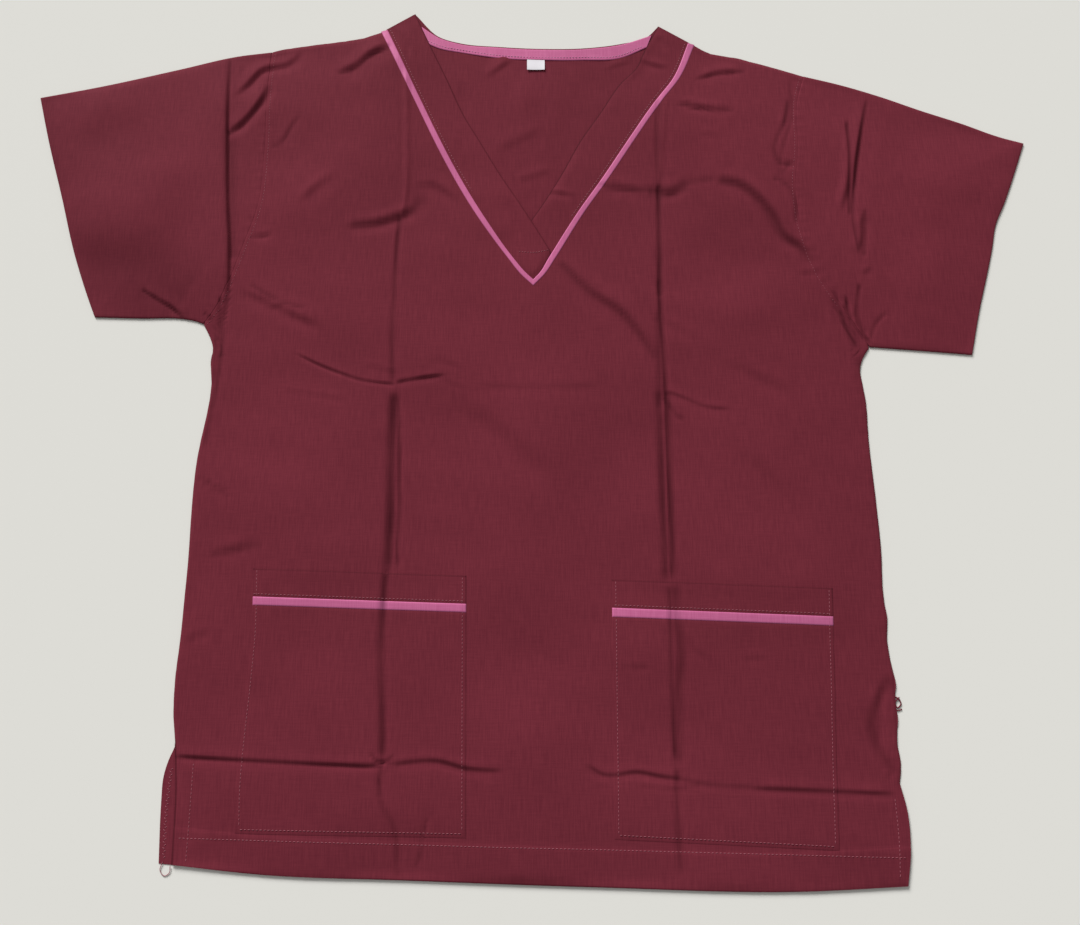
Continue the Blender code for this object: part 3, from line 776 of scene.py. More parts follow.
def cloth_finish(name, colour, light, streak, roughness, gloss):
    """Plain weave: slubby warp streaks along the grain, fainter weft ones, and a fine thread bump.

    The colour runs from dark to light with 0.7 warp + 0.3 weft, times slow mottling and 1 - fold_tone, the
    painted shade of troughs and folded edges.
    """
    made, add, ramp, shade = new_material(name)
    grain = add("ShaderNodeUVMap", {}, "UV", uv_map="grain")

    def stretched(x_scale, y_scale):
        """The grain's place times a scale each way."""
        feed = {"Vector": grain, "Scale": (x_scale, y_scale, 1.0)}
        return add("ShaderNodeMapping", feed, "Vector", vector_type="POINT")

    def noise(place, scale, detail, roughness):
        """Flat noise of a scale."""
        feed = {"Vector": place, "Scale": scale, "Detail": detail, "Roughness": roughness}
        return add("ShaderNodeTexNoise", feed, "Fac", noise_dimensions="2D")

    def stripes(direction):
        """Slightly bent threads across one direction of the grain."""
        feed = {"Vector": grain, "Scale": 320.0, "Distortion": 1.2, "Detail": 1.0}
        return add("ShaderNodeTexWave", feed, "Fac", wave_type="BANDS", bands_direction=direction)

    def combine(operation, *values):
        """A piece of arithmetic on the values, in order."""
        return add("ShaderNodeMath", dict(enumerate(values)), "Value", operation=operation)

    def spread(value, lowest, highest, low=0.0, high=1.0, kind="LINEAR"):
        """A value's range from lowest to highest, brought to low and high."""
        feed = {"Value": value, "From Min": lowest, "From Max": highest, "To Min": low, "To Max": high}
        return add("ShaderNodeMapRange", feed, "Result", interpolation_type=kind)

    warp = noise(stretched(1100.0, 55.0), 1.0, 3.0, 0.65)
    weft = noise(stretched(60.0, 1100.0), 1.0, 2.0, 0.6)
    lines = combine("MULTIPLY_ADD", warp, 0.7, combine("MULTIPLY", weft, 0.3))
    colours_of_lines = ramp(spread(lines, 0.5 - streak, 0.5 + streak, kind="SMOOTHSTEP"), colour, light)
    mottling = spread(noise(grain, 7.0, 2.0, 0.5), 0.3, 0.7, 0.95, 1.05)
    # Painted shade of troughs and folded edges, taken off the colour.
    painted_shade = add("ShaderNodeAttribute", {}, "Fac", attribute_name="fold_tone")
    feed = {0: colours_of_lines, "Scale": combine("MULTIPLY", mottling, combine("SUBTRACT", 1.0, painted_shade))}
    mottled = add("ShaderNodeVectorMath", feed, "Vector", operation="SCALE")
    height = combine("MULTIPLY_ADD", combine("MULTIPLY", stripes("X"), stripes("Y")), 0.5, lines)
    bump = add("ShaderNodeBump", {"Height": height, "Strength": 0.35, "Distance": 0.00012}, "Normal")
    shade(
        Base_Color=mottled, Normal=bump, Roughness=roughness, Specular_IOR_Level=gloss,
        Specular_Tint=shade_of(light, 1.0 / max(light[:3])),
    )
    return made


def thread_finish(name, colour):
    """Twisted sewing thread: a fine slanting stripe in its height, and painted light and shade of that
    stripe in its colour.
    """
    made, add, ramp, shade = new_material(name)
    place = add("ShaderNodeTexCoord", {}, "Object")
    feed = {"Vector": place, "Rotation": (0.0, 0.0, 0.6)}
    turned = add("ShaderNodeMapping", feed, "Vector", vector_type="POINT")
    feed = {"Vector": turned, "Scale": 900.0, "Distortion": 0.5}
    twist = add("ShaderNodeTexWave", feed, "Fac", wave_type="BANDS", bands_direction="X")
    bump = add("ShaderNodeBump", {"Height": twist, "Strength": 0.3, "Distance": 0.00005}, "Normal")
    # Painted light and shade of the twist: darker and lighter copies of the thread's colour.
    painted_twist_shading = ramp(twist, shade_of(colour, 0.8), shade_of(colour, 1.15))
    shade(Base_Color=painted_twist_shading, Normal=bump, Roughness=0.55)
    return made


def plain_finish(name, colour, roughness):
    """The pale floor: one tone with a hardly visible grain in its roughness."""
    made, add, _, shade = new_material(name)
    place = add("ShaderNodeTexCoord", {}, "Object")
    noise = add("ShaderNodeTexNoise", {"Vector": place, "Scale": 140.0, "Detail": 2.0}, "Fac")
    feed = {"Value": noise, "To Min": roughness - 0.04, "To Max": roughness + 0.04}
    shade(Base_Color=colour, Roughness=add("ShaderNodeMapRange", feed, "Result"), Specular_IOR_Level=0.1)
    return made


def finish_named(name):
    """The material of this name, made the first time it is asked for."""
    found = bpy.data.materials.get(f"finish_{name}")
    if found:
        return found
    tones = colours()
    full = f"finish_{name}"
    if name == "burgundy":
        dark, light = tuple(tones.burgundy), tuple(tones.burgundy_light)
        return cloth_finish(full, dark, light, streak=0.26, roughness=0.75, gloss=0.08)
    if name == "pink":
        dark, light = tuple(tones.pink), tuple(tones.pink_light)
        return cloth_finish(full, dark, light, streak=0.3, roughness=0.5, gloss=0.5)
    if name == "tape":
        dark, light = shade_of(tones.tape, 0.94), tuple(tones.tape)
        return cloth_finish(full, dark, light, streak=0.3, roughness=0.6, gloss=0.3)
    if name in ("burgundy_thread", "pink_thread"):
        return thread_finish(full, tuple(getattr(tones, name)))
    raise RuntimeError(f"no finish is named {name}")


# ---- the pieces ----


def build_back_panel():
    """One net from hem to neck, on the floor; its columns follow both sides and its rows the two edges."""
    left = across(VENT_LEFT_BACK, SIDE_LEFT, ARMHOLE_LEFT)
    right = across(VENT_RIGHT_BACK, SIDE_RIGHT, ARMHOLE_RIGHT)
    bottom = upward([(-279, -359)] + [(x, y + 0.8) for x, y in HEM[1:-1]] + [(284, -374)])
    top = upward(SHOULDER_LEFT, NECK_POINT_LEFT, BACK_NECK, NECK_POINT_RIGHT, SHOULDER_RIGHT)
    columns = (
        lambda y: left(y) + 0.9 * smoothstep((y + 285.0) / 12.0),
        lambda y: -105.0 + 0.0 * y,
        lambda y: 118.0 + 0.0 * y,
        lambda y: right(y) - 0.9 * smoothstep((y + 315.0) / 12.0),
    )
    rows = (bottom, level(120.0), lambda x: np.minimum(318.0, top(x) - 6.0), top)
    x, y = net(columns, (44, 74, 44), rows, (110, 66, 16), pull=0.0)
    piece = sheet_of("back_panel_cloth", x, y, lower(x, y))
    hand_in(piece, "burgundy", "burgundy_cloth", "back_panel", (LOWER_TOP - FLOOR_GAP) * MM)


def front_height(x, y):
    """The upper sheet with its cut edges turned down, to the back panel at the sides."""
    z = upper(x, y)
    for line in SIDE_SEAMS + SHOULDER_SEAMS:
        distance = np.abs(beside(x, y, line)[0])
        z = SEAM_LEVEL + (z - SEAM_LEVEL) * rolled(distance, SEAM_ROLL)
    for line in (SEAM_LEFT, SEAM_RIGHT):
        distance = np.abs(beside(x, y, line)[0])
        z = z - 0.15 * (1.0 - rolled(distance, 1.2))
    hem = np.abs(beside(x, y, HEM_LINE)[0])
    return z + 0.35 * smoothstep((28.0 - hem) / 1.5) - 0.55 * (1.0 - rolled(hem, 1.4))


def build_front_panel():
    """Two nets that share the middle line up to the V, where each follows its own side of the neck."""
    left_side = across(VENT_LEFT, SIDE_LEFT, ARMHOLE_LEFT)
    right_side = across(VENT_RIGHT, SIDE_RIGHT, ARMHOLE_RIGHT)
    v_left = across([(4, -400), (4, 0), (4, 108)], PIPING_LEFT_OUTER)
    v_right = across([(4, -400), (4, 0), (4, 108)], PIPING_RIGHT_OUTER)
    pressed_left = across(FOLD_LEFT)
    pressed_right = across(FOLD_RIGHT)
    tuck = 1.4

    def neck_left(y):
        """The V's left edge, tucked under the piping."""
        return v_left(y) + tuck * smoothstep((y - 110.0) / 8.0)

    def neck_right(y):
        """The V's right edge, tucked under the piping."""
        return v_right(y) - tuck * smoothstep((y - 110.0) / 8.0)

    def fold_left(y):
        """The left press-fold, kept 7 mm from the V."""
        return np.minimum(pressed_left(y), v_left(y) - 7.0)

    def fold_right(y):
        """The right press-fold, kept 7 mm from the V."""
        return np.maximum(pressed_right(y), v_right(y) + 7.0)

    bottom = upward([(-268, -360)] + HEM[1:-1] + [(290, -375)])
    top = upward(SHOULDER_LEFT, [(-136, 360), (151, 346)], SHOULDER_RIGHT)
    rows = [
        *beside_line(bottom, (0.0, 0.6, 1.4, 26.5, 28.5)), *beside_line(upward(FOLD_LOW), FOLD_OFFSETS),
        *beside_line(upward(FOLD_HIGH), FOLD_OFFSETS), level(108.0), top,
    ]
    row_steps = (1, 1, 9, 2, 13, 1, 1, 1, 1, 98, 1, 1, 1, 1, 28, 78)
    left_columns = beside_line(left_side, (0.0, 0.7, 1.6, 2.8)) + beside_line(fold_left, FOLD_OFFSETS)
    left_columns.append(neck_left)
    right_columns = [neck_right] + beside_line(fold_right, FOLD_OFFSETS)
    right_columns += beside_line(right_side, (-2.8, -1.6, -0.7, 0.0))
    left_x, left_y = net(left_columns, (1, 1, 1, 52, 1, 1, 1, 1, 36), rows, row_steps, 0.2)
    right_x, right_y = net(right_columns, (36, 1, 1, 1, 1, 54, 1, 1, 1), rows, row_steps, 0.2)
    left_index = np.arange(left_x.size).reshape(left_x.shape)
    right_index = left_x.size + np.arange(right_x.size).reshape(right_x.shape)
    split = sum(row_steps[:-1])
    right_index[: split + 1, 0] = left_index[: split + 1, -1]
    x = np.concatenate([left_x.reshape(-1), right_x.reshape(-1)])
    y = np.concatenate([left_y.reshape(-1), right_y.reshape(-1)])
    points = np.stack([x, y, front_height(x, y)], axis=1)
    faces = upright(points, np.concatenate([quads(left_index), quads(right_index)]))
    # Painted shade in the troughs, and a painted shadow line along the left vent's edge.
    tone = fold_tone(x, y) + painted_edge_shadow(np.abs(beside(x, y, joined(VENT_LEFT, spacing=20.0))[0]), 0.45)
    piece = make_piece("front_panel_cloth", points, faces, np.minimum(tone, 0.6))
    hand_in(piece, "burgundy", "burgundy_cloth", "front_panel", sizes().cloth_thickness)


def build_sleeve(side, armhole, cuff, top, under):
    """A flattened tube, open at its ends: two layers over one patch, joined by rounded folds.

    The patch is ruled both ways between its four edges, less the bilinear patch of its corners.
    """
    across_parts = edge_parts(SLEEVE_WIDTH, 2.15)
    near = np.linspace(0.0, SLEEVE_FINE_LENGTH, 65)[1:]
    far = np.linspace(SLEEVE_FINE_LENGTH, SLEEVE_LENGTH - 2.0, 59)[1:]
    tucked_in = [-3.2, -1.6, -0.8, 0.0]
    at = np.concatenate([tucked_in, near, far, [SLEEVE_LENGTH - 0.8, SLEEVE_LENGTH]])
    along_parts = at / SLEEVE_LENGTH
    along = np.clip(along_parts, 0.0, 1.0)
    seam = at_parts(armhole[::-1], across_parts)
    end = at_parts(cuff, across_parts)
    top_line = at_parts(top, along)
    under_line = at_parts(under, along)
    u = along[None, :, None]
    v = across_parts[:, None, None]
    ruled = (1.0 - u) * seam[:, None] + u * end[:, None] + (1.0 - v) * top_line[None] + v * under_line[None]
    corners = (1.0 - u) * ((1.0 - v) * seam[0] + v * seam[-1]) + u * ((1.0 - v) * end[0] + v * end[-1])
    patch = ruled - corners
    inward = np.sign(seam[:, 0].mean() - end[:, 0].mean())
    reach = np.maximum(-along_parts, 0.0)[None] * SLEEVE_LENGTH
    patch[..., 0] += inward * reach * np.sin(math.pi * across_parts)[:, None]
    x = patch[..., 0]
    y = patch[..., 1]
    width = np.hypot(*(end[0] - end[-1])) * np.ones_like(x)
    to_fold = np.minimum(across_parts, 1.0 - across_parts)[:, None] * width
    to_cuff = (1.0 - along_parts)[None] * SLEEVE_LENGTH * np.ones_like(x)
    tucked = smoothstep(0.25 - along_parts * SLEEVE_LENGTH / 1.6)[None] * np.ones_like(x)
    high = upper(x, y) - 0.45 * (1.0 - rolled(to_cuff, 1.6)) - 0.62 * tucked
    low = LOWER_TOP + 0.55 * tucked
    middle = np.full(np.shape(x), FOLD_LEVEL)
    round_edge = rolled(to_fold, 2.0)
    upper_z = middle + (high - middle) * round_edge
    lower_z = middle + (low - middle) * round_edge
    count = len(across_parts)
    x_loop = np.concatenate([x, x[-2:0:-1]])
    y_loop = np.concatenate([y, y[-2:0:-1]])
    z_loop = np.concatenate([upper_z, lower_z[-2:0:-1]])
    index = np.arange(x_loop.size).reshape(x_loop.shape)
    index = np.concatenate([index, index[:1]])
    points = np.stack([x_loop, y_loop, z_loop], axis=-1).reshape(-1, 3)
    faces = quads(index)
    first_layer = faces[: (count - 1) * (len(along_parts) - 1)]
    if upright(points, first_layer) is not first_layer:
        faces = faces[:, ::-1]
    # Both layers carry the troughs' painted shade.
    piece = make_piece(f"sleeve_{side}_cloth", points, faces, fold_tone(x_loop, y_loop))
    hand_in(piece, "burgundy", "burgundy_cloth", f"sleeve_{side}", sizes().cloth_thickness)


def ribbon(name, outer, inner, spacing, across_steps, height, finish, slot, node, painted_shadow_share=0.0):
    """A strip ruled between two edges, with extra lines near both; height(x, y, from_outer, from_inner)."""
    outer_line = smooth(outer, 300)
    inner_line = smooth(inner, 300)
    length = max(length_of(outer_line), length_of(inner_line))
    parts = np.linspace(0.0, 1.0, int(length / spacing) + 2)
    first = at_parts(outer, parts)
    second = at_parts(inner, parts)
    width = np.hypot(*(first - second).T)
    typical = float(np.median(width))
    over = edge_parts(typical, typical / across_steps, (0.0, 0.3, 0.8, 1.5))
    patch = first[:, None] + (second - first)[:, None] * over[None, :, None]
    x = patch[..., 0]
    y = patch[..., 1]
    from_outer = over[None] * width[:, None]
    from_inner = (1.0 - over)[None] * width[:, None]
    # A painted shadow line along the inner edge, of this share.
    tone = painted_edge_shadow(from_inner, painted_shadow_share)
    piece = sheet_of(name, x, y, height(x, y, from_outer, from_inner), tone)
    hand_in(piece, finish, slot, node, sizes().cloth_thickness)


def moved(points, distance):
    """An open edge moved sideways, to the left of the way it runs, as a smoothed run of points."""
    line = smooth(points, 60)
    return line + distance * left_of(headings(line))


def band_folds(x, y):
    """The relief of the neckbands' own creases."""
    return relief(x, y, BAND_CREASES, 0.2, 0.3)


def left_band_height(x, y, from_outer, from_inner):
    """On the upper sheet, climbing over the right band towards the V, with its inner edge folded round."""
    crossing = smoothstep((216.0 - y) / 26.0)
    right_seam = np.abs(beside(x, y, smooth(PIPING_RIGHT_INNER[:5], 40))[0])
    clear = smoothstep(from_outer / 5.0) * smoothstep(right_seam / 5.0)
    z = upper(x, y) + BAND_RISE + band_folds(x, y) + CROSSING_RISE * crossing * clear
    low = UPPER_BASE - 0.55 + CROSSING_RISE * crossing * clear
    return low + (z - low) * rolled(from_inner, BAND_ROLL)


def right_band_height(x, y, from_outer, from_inner):
    """On the upper sheet, sinking under the left band, with its inner edge folded round."""
    under = beside(x, y, smooth(BAND_LEFT_INNER[:6], 40))[0]
    z = upper(x, y) + BAND_RISE + band_folds(x, y) - 0.75 * smoothstep((under + 1.0) / 4.0)
    low = UPPER_BASE - 0.75
    return low + (z - low) * rolled(from_inner, BAND_ROLL)


def strip_height(rise):
    """A thin folded strip on the upper sheet: flat on top, with both edges rounded down."""
    def height(x, y, from_outer, from_inner):
        """The sheet plus the rise, less 0.5 mm at either edge."""
        edge = np.minimum(from_outer, from_inner)
        return upper(x, y) + rise - 0.5 * (1.0 - rolled(edge, PIPING_ROLL))
    return height


def build_neck_pipings():
    """Two contrast strips that run up the sides of the V from its tip."""
    for side, outer, inner in (
        ("left", PIPING_LEFT_OUTER, PIPING_LEFT_INNER), ("right", PIPING_RIGHT_OUTER, PIPING_RIGHT_INNER),
    ):
        ribbon(
            f"neck_piping_{side}_cloth", outer, inner, 1.8, 5, strip_height(PIPING_RISE),
            "pink", "pink_cloth", f"neck_piping_{side}",
        )


def build_neckbands():
    """The left band crosses over the right one at the V; both rise to a folded point at the shoulder."""
    outer_tip = smooth([(4, 114), (-3, 121), (-13, 134)], 8)
    outer_left = np.concatenate([outer_tip, smooth(PIPING_LEFT_INNER[2:], 60)[1:]])
    outer_left = outer_left + np.array([-1.3, 0.2])
    inner_tip = smooth([(5, 113.5), (9, 118), (19.5, 138)], 10)
    inner_left = np.concatenate([inner_tip, smooth(BAND_LEFT_INNER, 60)])
    # Each band's inner edge gets a painted shadow line, stronger on the right band.
    ribbon(
        "neckband_left_cloth", outer_left, inner_left, 2.2, 13, left_band_height,
        "burgundy", "burgundy_cloth", "neckband_left", 0.3,
    )
    outer_right = np.concatenate([[(11, 126)], smooth(PIPING_RIGHT_INNER[2:], 70) + np.array([1.3, 0.2])])
    ribbon(
        "neckband_right_cloth", outer_right, np.array(BAND_RIGHT_INNER, float), 2.2, 13, right_band_height,
        "burgundy", "burgundy_cloth", "neckband_right", 0.6,
    )


def build_facing():
    """The contrast strip inside the back neck, lying on the back panel."""
    def height(x, y, from_outer, from_inner):
        """The back panel plus the facing's rise and slight waves, less 0.45 mm at either edge."""
        edge = np.minimum(from_outer, from_inner)
        rise = 0.12 * waves(x, y, 21, 4, 60.0, 25.0)
        return LOWER_TOP + FACING_RISE + rise - 0.45 * (1.0 - rolled(edge, 1.0))
    ribbon(
        "back_neck_facing_cloth", FACING_TOP, FACING_LOWER, 2.0, 6, height,
        "pink", "pink_cloth", "back_neck_facing",
    )


def build_tag():
    """A blank woven tape, sewn under the facing's edge and curling up a little at its free corners."""
    left, right, bottom, top = TAG
    x, y = np.meshgrid(np.linspace(left, right, 25), np.linspace(bottom, top, 19))
    free = smoothstep((top - y) / (top - bottom))
    corner = ((x - 0.5 * (left + right)) / (0.5 * (right - left))) ** 2
    z = LOWER_TOP + 0.5 + 0.75 * free + 0.35 * free * corner
    piece = sheet_of("size_tag_tape", x, y, z)
    hand_in(piece, "tape", "white_tape", "size_tag", TAG_THICKNESS * MM)


def pocket_patch(side, rows, row_steps, start, end):
    """A pocket's net between two rows; distances to its sides, from the row above and from the row below."""
    top_left, bottom_left, bottom_right, top_right = POCKETS[side][:4]
    left = across(POCKET_LEFT_SIDE[::-1] if side == "left" else [bottom_left, top_left])
    right = across([bottom_right, top_right])
    fold = across(FOLD_LEFT if side == "left" else FOLD_RIGHT)
    columns = [
        *beside_line(left, (0.0, 0.35, 0.9, 1.8)), *beside_line(fold, FOLD_OFFSETS),
        *beside_line(right, (-1.8, -0.9, -0.35, 0.0)),
    ]
    wide = (44, 26) if side == "left" else (19, 50)
    x, y = net(columns, (1, 1, 1, wide[0], 1, 1, 1, 1, wide[1], 1, 1, 1), rows, row_steps, 0.1)
    to_side = np.minimum(x - left(y), right(y) - x)
    return x, y, to_side, start(x) - y, y - end(x)


def build_pocket(side):
    """Turned-down band, contrast strip and bag: the upper sheet moved up, with rolled edges."""
    top_left, bottom_left, bottom_right, top_right, strip_start, strip_end = POCKETS[side]
    top = upward([top_left, top_right])
    bottom = upward([bottom_left, bottom_right])
    low = 0.06

    def below(depth):
        """The net line this far below the top edge."""
        return lambda x: top(x) - depth

    bag_top = below(strip_end - 1.2)
    rows = [
        *beside_line(bottom, (0.0, 0.35, 0.9, 1.8)), *beside_line(upward(FOLD_LOW), FOLD_OFFSETS),
        *beside_line(bag_top, (-1.8, -0.9, 0.0)),
    ]
    x, y, to_side, from_start, from_end = pocket_patch(
        side, rows, (1, 1, 1, 18, 1, 1, 1, 1, 50, 1, 1), bag_top, bottom,
    )
    rise = low + (POCKET_RISE - low) * rolled(to_side, POCKET_ROLL) * rolled(from_end, 9.0)
    rise = rise - 0.35 * (1.0 - smoothstep(from_start / 2.0))
    # Painted shade in the troughs and a faint painted shadow along the sides.
    tone = fold_tone(x, y) + painted_edge_shadow(to_side, 0.06)
    bag = sheet_of(f"pocket_{side}_bag_cloth", x, y, upper(x, y) + rise, tone)
    band_bottom = below(strip_start + 1.2)
    rows = [*beside_line(band_bottom, (0.0, 0.9, 1.8)), *beside_line(top, (-1.8, -0.9, -0.35, 0.0))]
    x, y, to_side, from_start, from_end = pocket_patch(side, rows, (1, 1, 10, 1, 1, 1), top, band_bottom)
    mouth = 0.35 * smoothstep((12.0 - from_start) / 12.0) * smoothstep(to_side / 25.0)
    rise = low + (POCKET_RISE + 0.1 + mouth - low) * rolled(to_side, POCKET_ROLL) * rolled(from_start, 1.2)
    rise = rise - 0.35 * (1.0 - smoothstep(from_end / 2.0))
    # Painted shade in the troughs, a painted shadow along the sides and a stronger one along the top edge.
    tone = fold_tone(x, y) + painted_edge_shadow(to_side, 0.12) + painted_edge_shadow(from_start, 0.45)
    band = sheet_of(f"pocket_{side}_band_cloth", x, y, upper(x, y) + rise, np.minimum(tone, 0.5))
    strip_top = below(strip_start)
    strip_bottom = below(strip_end)
    rows = [*beside_line(strip_bottom, (0.0, 0.4, 1.1)), *beside_line(strip_top, (-1.1, -0.4, 0.0))]
    x, y, to_side, from_start, from_end = pocket_patch(side, rows, (1, 1, 4, 1, 1), strip_top, strip_bottom)
    edge = np.minimum(np.minimum(from_start, from_end), to_side)
    sink = (POCKET_RISE - low) * (1.0 - rolled(to_side, POCKET_ROLL))
    rise = POCKET_RISE + 0.3 - 0.5 * (1.0 - rolled(edge, PIPING_ROLL)) - sink
    # The strip carries the troughs' painted shade.
    strip = sheet_of(f"pocket_{side}_piping_cloth", x, y, upper(x, y) + rise, fold_tone(x, y))
    for piece, finish, slot, node in (
        (bag, "burgundy", "burgundy_cloth", "bag"), (band, "burgundy", "burgundy_cloth", "band"),
        (strip, "pink", "pink_cloth", "piping"),
    ):
        hand_in(piece, finish, slot, f"pocket_{side}_{node}", sizes().cloth_thickness)


# ---- stitches ----


def places_along(points, pitch):
    """Stitch centres and directions at even steps along a smoothed row."""
    line = smooth(points, 500)
    run = run_of(line)
    at = np.arange(0.6 * pitch, run[-1] - 0.5 * pitch, pitch)
    centre = places_on(line, run, at)
    forward = places_on(line, run, at + 0.5) - centre
    return centre, forward / np.hypot(*forward.T)[:, None]


def stitch_row(rows, surface, pitch, length, thickness, seed=3):
    """Rice-shaped stitches on a surface: five rings along each, of radius r sqrt(1 - s^2), its ends sunk."""
    placed = [places_along(row, pitch) for row in rows]
    centre = np.concatenate([middle for middle, _ in placed])
    forward = np.concatenate([ahead for _, ahead in placed])
    rng = np.random.default_rng(seed)
    turn = rng.normal(0.0, 0.06, len(centre))
    forward = np.stack([
        forward[:, 0] * np.cos(turn) - forward[:, 1] * np.sin(turn),
        forward[:, 0] * np.sin(turn) + forward[:, 1] * np.cos(turn),
    ], axis=1)
    scale = rng.uniform(0.88, 1.08, len(centre))
    s = np.array([-1.0, -0.72, 0.0, 0.72, 1.0])
    radius = 0.5 * thickness * np.sqrt(np.maximum(1.0 - s**2, 0.02))
    spine = centre[:, None] + forward[:, None] * (0.5 * length * s)[None, :, None] * scale[:, None, None]
    floor = surface(spine[..., 0], spine[..., 1])
    angle = np.arange(6) * math.pi / 3.0
    side = left_of(forward)
    offset = radius[None, :, None] * np.cos(angle)[None, None]
    x = spine[..., 0, None] + side[:, None, None, 0] * offset
    y = spine[..., 1, None] + side[:, None, None, 1] * offset
    arch = 0.35 * thickness * (1.0 - s**2) - 0.05
    z = (floor + arch[None])[..., None] + radius[None, :, None] * np.sin(angle)[None, None]
    return x, y, z


def tube_mesh(name, grids):
    """One mesh from closed little tubes: rings joined by quads, with each end ring closed by two quads."""
    points = []
    faces = []
    start = 0
    for x, y, z in grids:
        rings, around = x.shape[1:]
        points.append(np.stack([x, y, z], axis=-1).reshape(-1, 3))
        index = start + np.arange(x.size).reshape(x.shape)
        turned = np.roll(index, -1, axis=2)
        body = np.stack([index[:, :-1], turned[:, :-1], turned[:, 1:], index[:, 1:]], axis=-1)
        faces.append(body.reshape(-1, 4))
        for ring, order in ((0, (3, 2, 1, 0)), (rings - 1, (0, 1, 2, 3))):
            for first in (0, 3):
                corner = [(first + step) % around for step in range(4)]
                cap = index[:, ring][:, corner]
                faces.append(cap[:, order])
        start += x.size
    return make_piece(name, np.concatenate(points), np.concatenate(faces))


def zigzag(points, pitch, width):
    """A row that swings from side to side: corners half a pitch apart, alternately left and right."""
    line = smooth(points, 200)
    count = int(2.0 * length_of(line) / pitch)
    middle = places_on(line, parts_of(line), np.linspace(0.0, 1.0, count + 1))
    swing = np.where(np.arange(count + 1) % 2 == 0, 0.5, -0.5) * width
    corner = middle + swing[:, None] * left_of(headings(middle))
    return [corner[number : number + 2] for number in range(count)]


def pocket_rows(side):
    """The rows round a pocket: down each side, along the bottom, and along the band above the strip."""
    top_left, bottom_left, bottom_right, top_right = np.array(POCKETS[side][:4], float)
    inset = STITCH_INSET
    left = np.array(POCKET_LEFT_SIDE if side == "left" else [top_left, bottom_left], float) + (inset, 0.0)
    left[0, 1] -= 1.0
    left[-1, 1] += inset
    right = np.array([top_right + (-inset, -1.0), bottom_right + (-inset, inset)])
    bottom = np.array([left[-1], bottom_right + (-inset, inset)])
    drop = (POCKETS[side][4] - 2.0) * (bottom_left - top_left) / np.hypot(*(bottom_left - top_left))
    band = np.array([top_left + drop + (1.0, 0.0), top_right + drop + (-1.0, 0.0)])
    return [left, right, bottom], [band]


def build_stitching():
    """The rows of stitches, grouped by thread: on the cloth of the top, and on the facing."""
    size = sizes()
    pitch = size.stitch_pitch / MM
    length = size.stitch_length / MM
    thickness = size.thread_thickness / MM
    front_rows = [HEM_STITCH, VENT_LEFT_STITCH, VENT_RIGHT_STITCH]
    grids = [stitch_row(front_rows, front_height, pitch, length, thickness)]
    armholes = [moved(ARMHOLE_LEFT, -STITCH_INSET), moved(ARMHOLE_RIGHT[1:], STITCH_INSET)]
    grids.append(stitch_row(armholes, front_height, pitch, 0.8 * length, 0.6 * thickness, 4))

    def on_pocket(x, y):
        """The face of a pocket's bag."""
        return upper(x, y) + POCKET_RISE

    def on_pocket_band(x, y):
        """The face of a pocket's band."""
        return upper(x, y) + POCKET_RISE + 0.12

    for side in POCKETS:
        edge_rows, band_rows = pocket_rows(side)
        grids.append(stitch_row(edge_rows, on_pocket, pitch, length, thickness, 5))
        grids.append(stitch_row(band_rows, on_pocket_band, pitch, length, thickness, 6))

    def on_band(height):
        """The face of a neckband well away from its edges."""
        return lambda x, y: height(x, y, *np.full((2,) + np.shape(x), 20.0))

    def near_left_seam(x, y):
        """The left band's face beside its piping, a little higher over the right band."""
        return upper(x, y) + BAND_RISE + band_folds(x, y) + 0.3 * smoothstep((216.0 - y) / 26.0)

    grids.append(stitch_row([BAR_STITCH], on_band(left_band_height), 2.4, 1.8, thickness, 7))
    left_row = [moved(PIPING_LEFT_INNER[3:], -2.4)]
    grids.append(stitch_row(left_row, near_left_seam, pitch, length, thickness, 8))
    right_row = [moved(PIPING_RIGHT_INNER[3:], 2.4)]
    grids.append(stitch_row(right_row, on_band(right_band_height), pitch, length, thickness, 9))
    zig = zigzag(VENT_LEFT_BACK_STITCH, 4.2, 3.0)
    grids.append(stitch_row(zig, lower, 2.2, 2.1, thickness, 10))
    burgundy = tube_mesh("burgundy_stitching", grids)
    hand_in(burgundy, "burgundy_thread", "burgundy_cloth", "front_panel")

    def on_facing(x, y):
        """The face of the facing, taken as flat."""
        return np.full(np.shape(x), LOWER_TOP + FACING_RISE + 0.05)

    facing_rows = [moved(FACING_LOWER, 2.8)]
    pink = tube_mesh("pink_stitching", [stitch_row(facing_rows, on_facing, 2.8, 2.0, thickness, 11)])
    hand_in(pink, "pink_thread", "pink_cloth", "back_neck_facing")


def thread_tube(path, radius):
    """A thin round tube along a smoothed path of (x, y, z) points, its rings square to the way it runs."""
    path = np.array(path, float)
    flat = smooth(path[:, :2], 40)
    run = parts_of(smooth(path[:, :2], len(path)))
    z = np.interp(np.linspace(0.0, 1.0, 40), run, path[:, 2])
    side = left_of(headings(flat))
    angle = np.arange(6) * math.pi / 3.0
    x = flat[:, 0, None] + radius * side[:, 0, None] * np.cos(angle)
    y = flat[:, 1, None] + radius * side[:, 1, None] * np.cos(angle)
    z = z[:, None] + radius * np.sin(angle)[None] * np.ones((40, 1))
    return x[None], y[None], z[None]


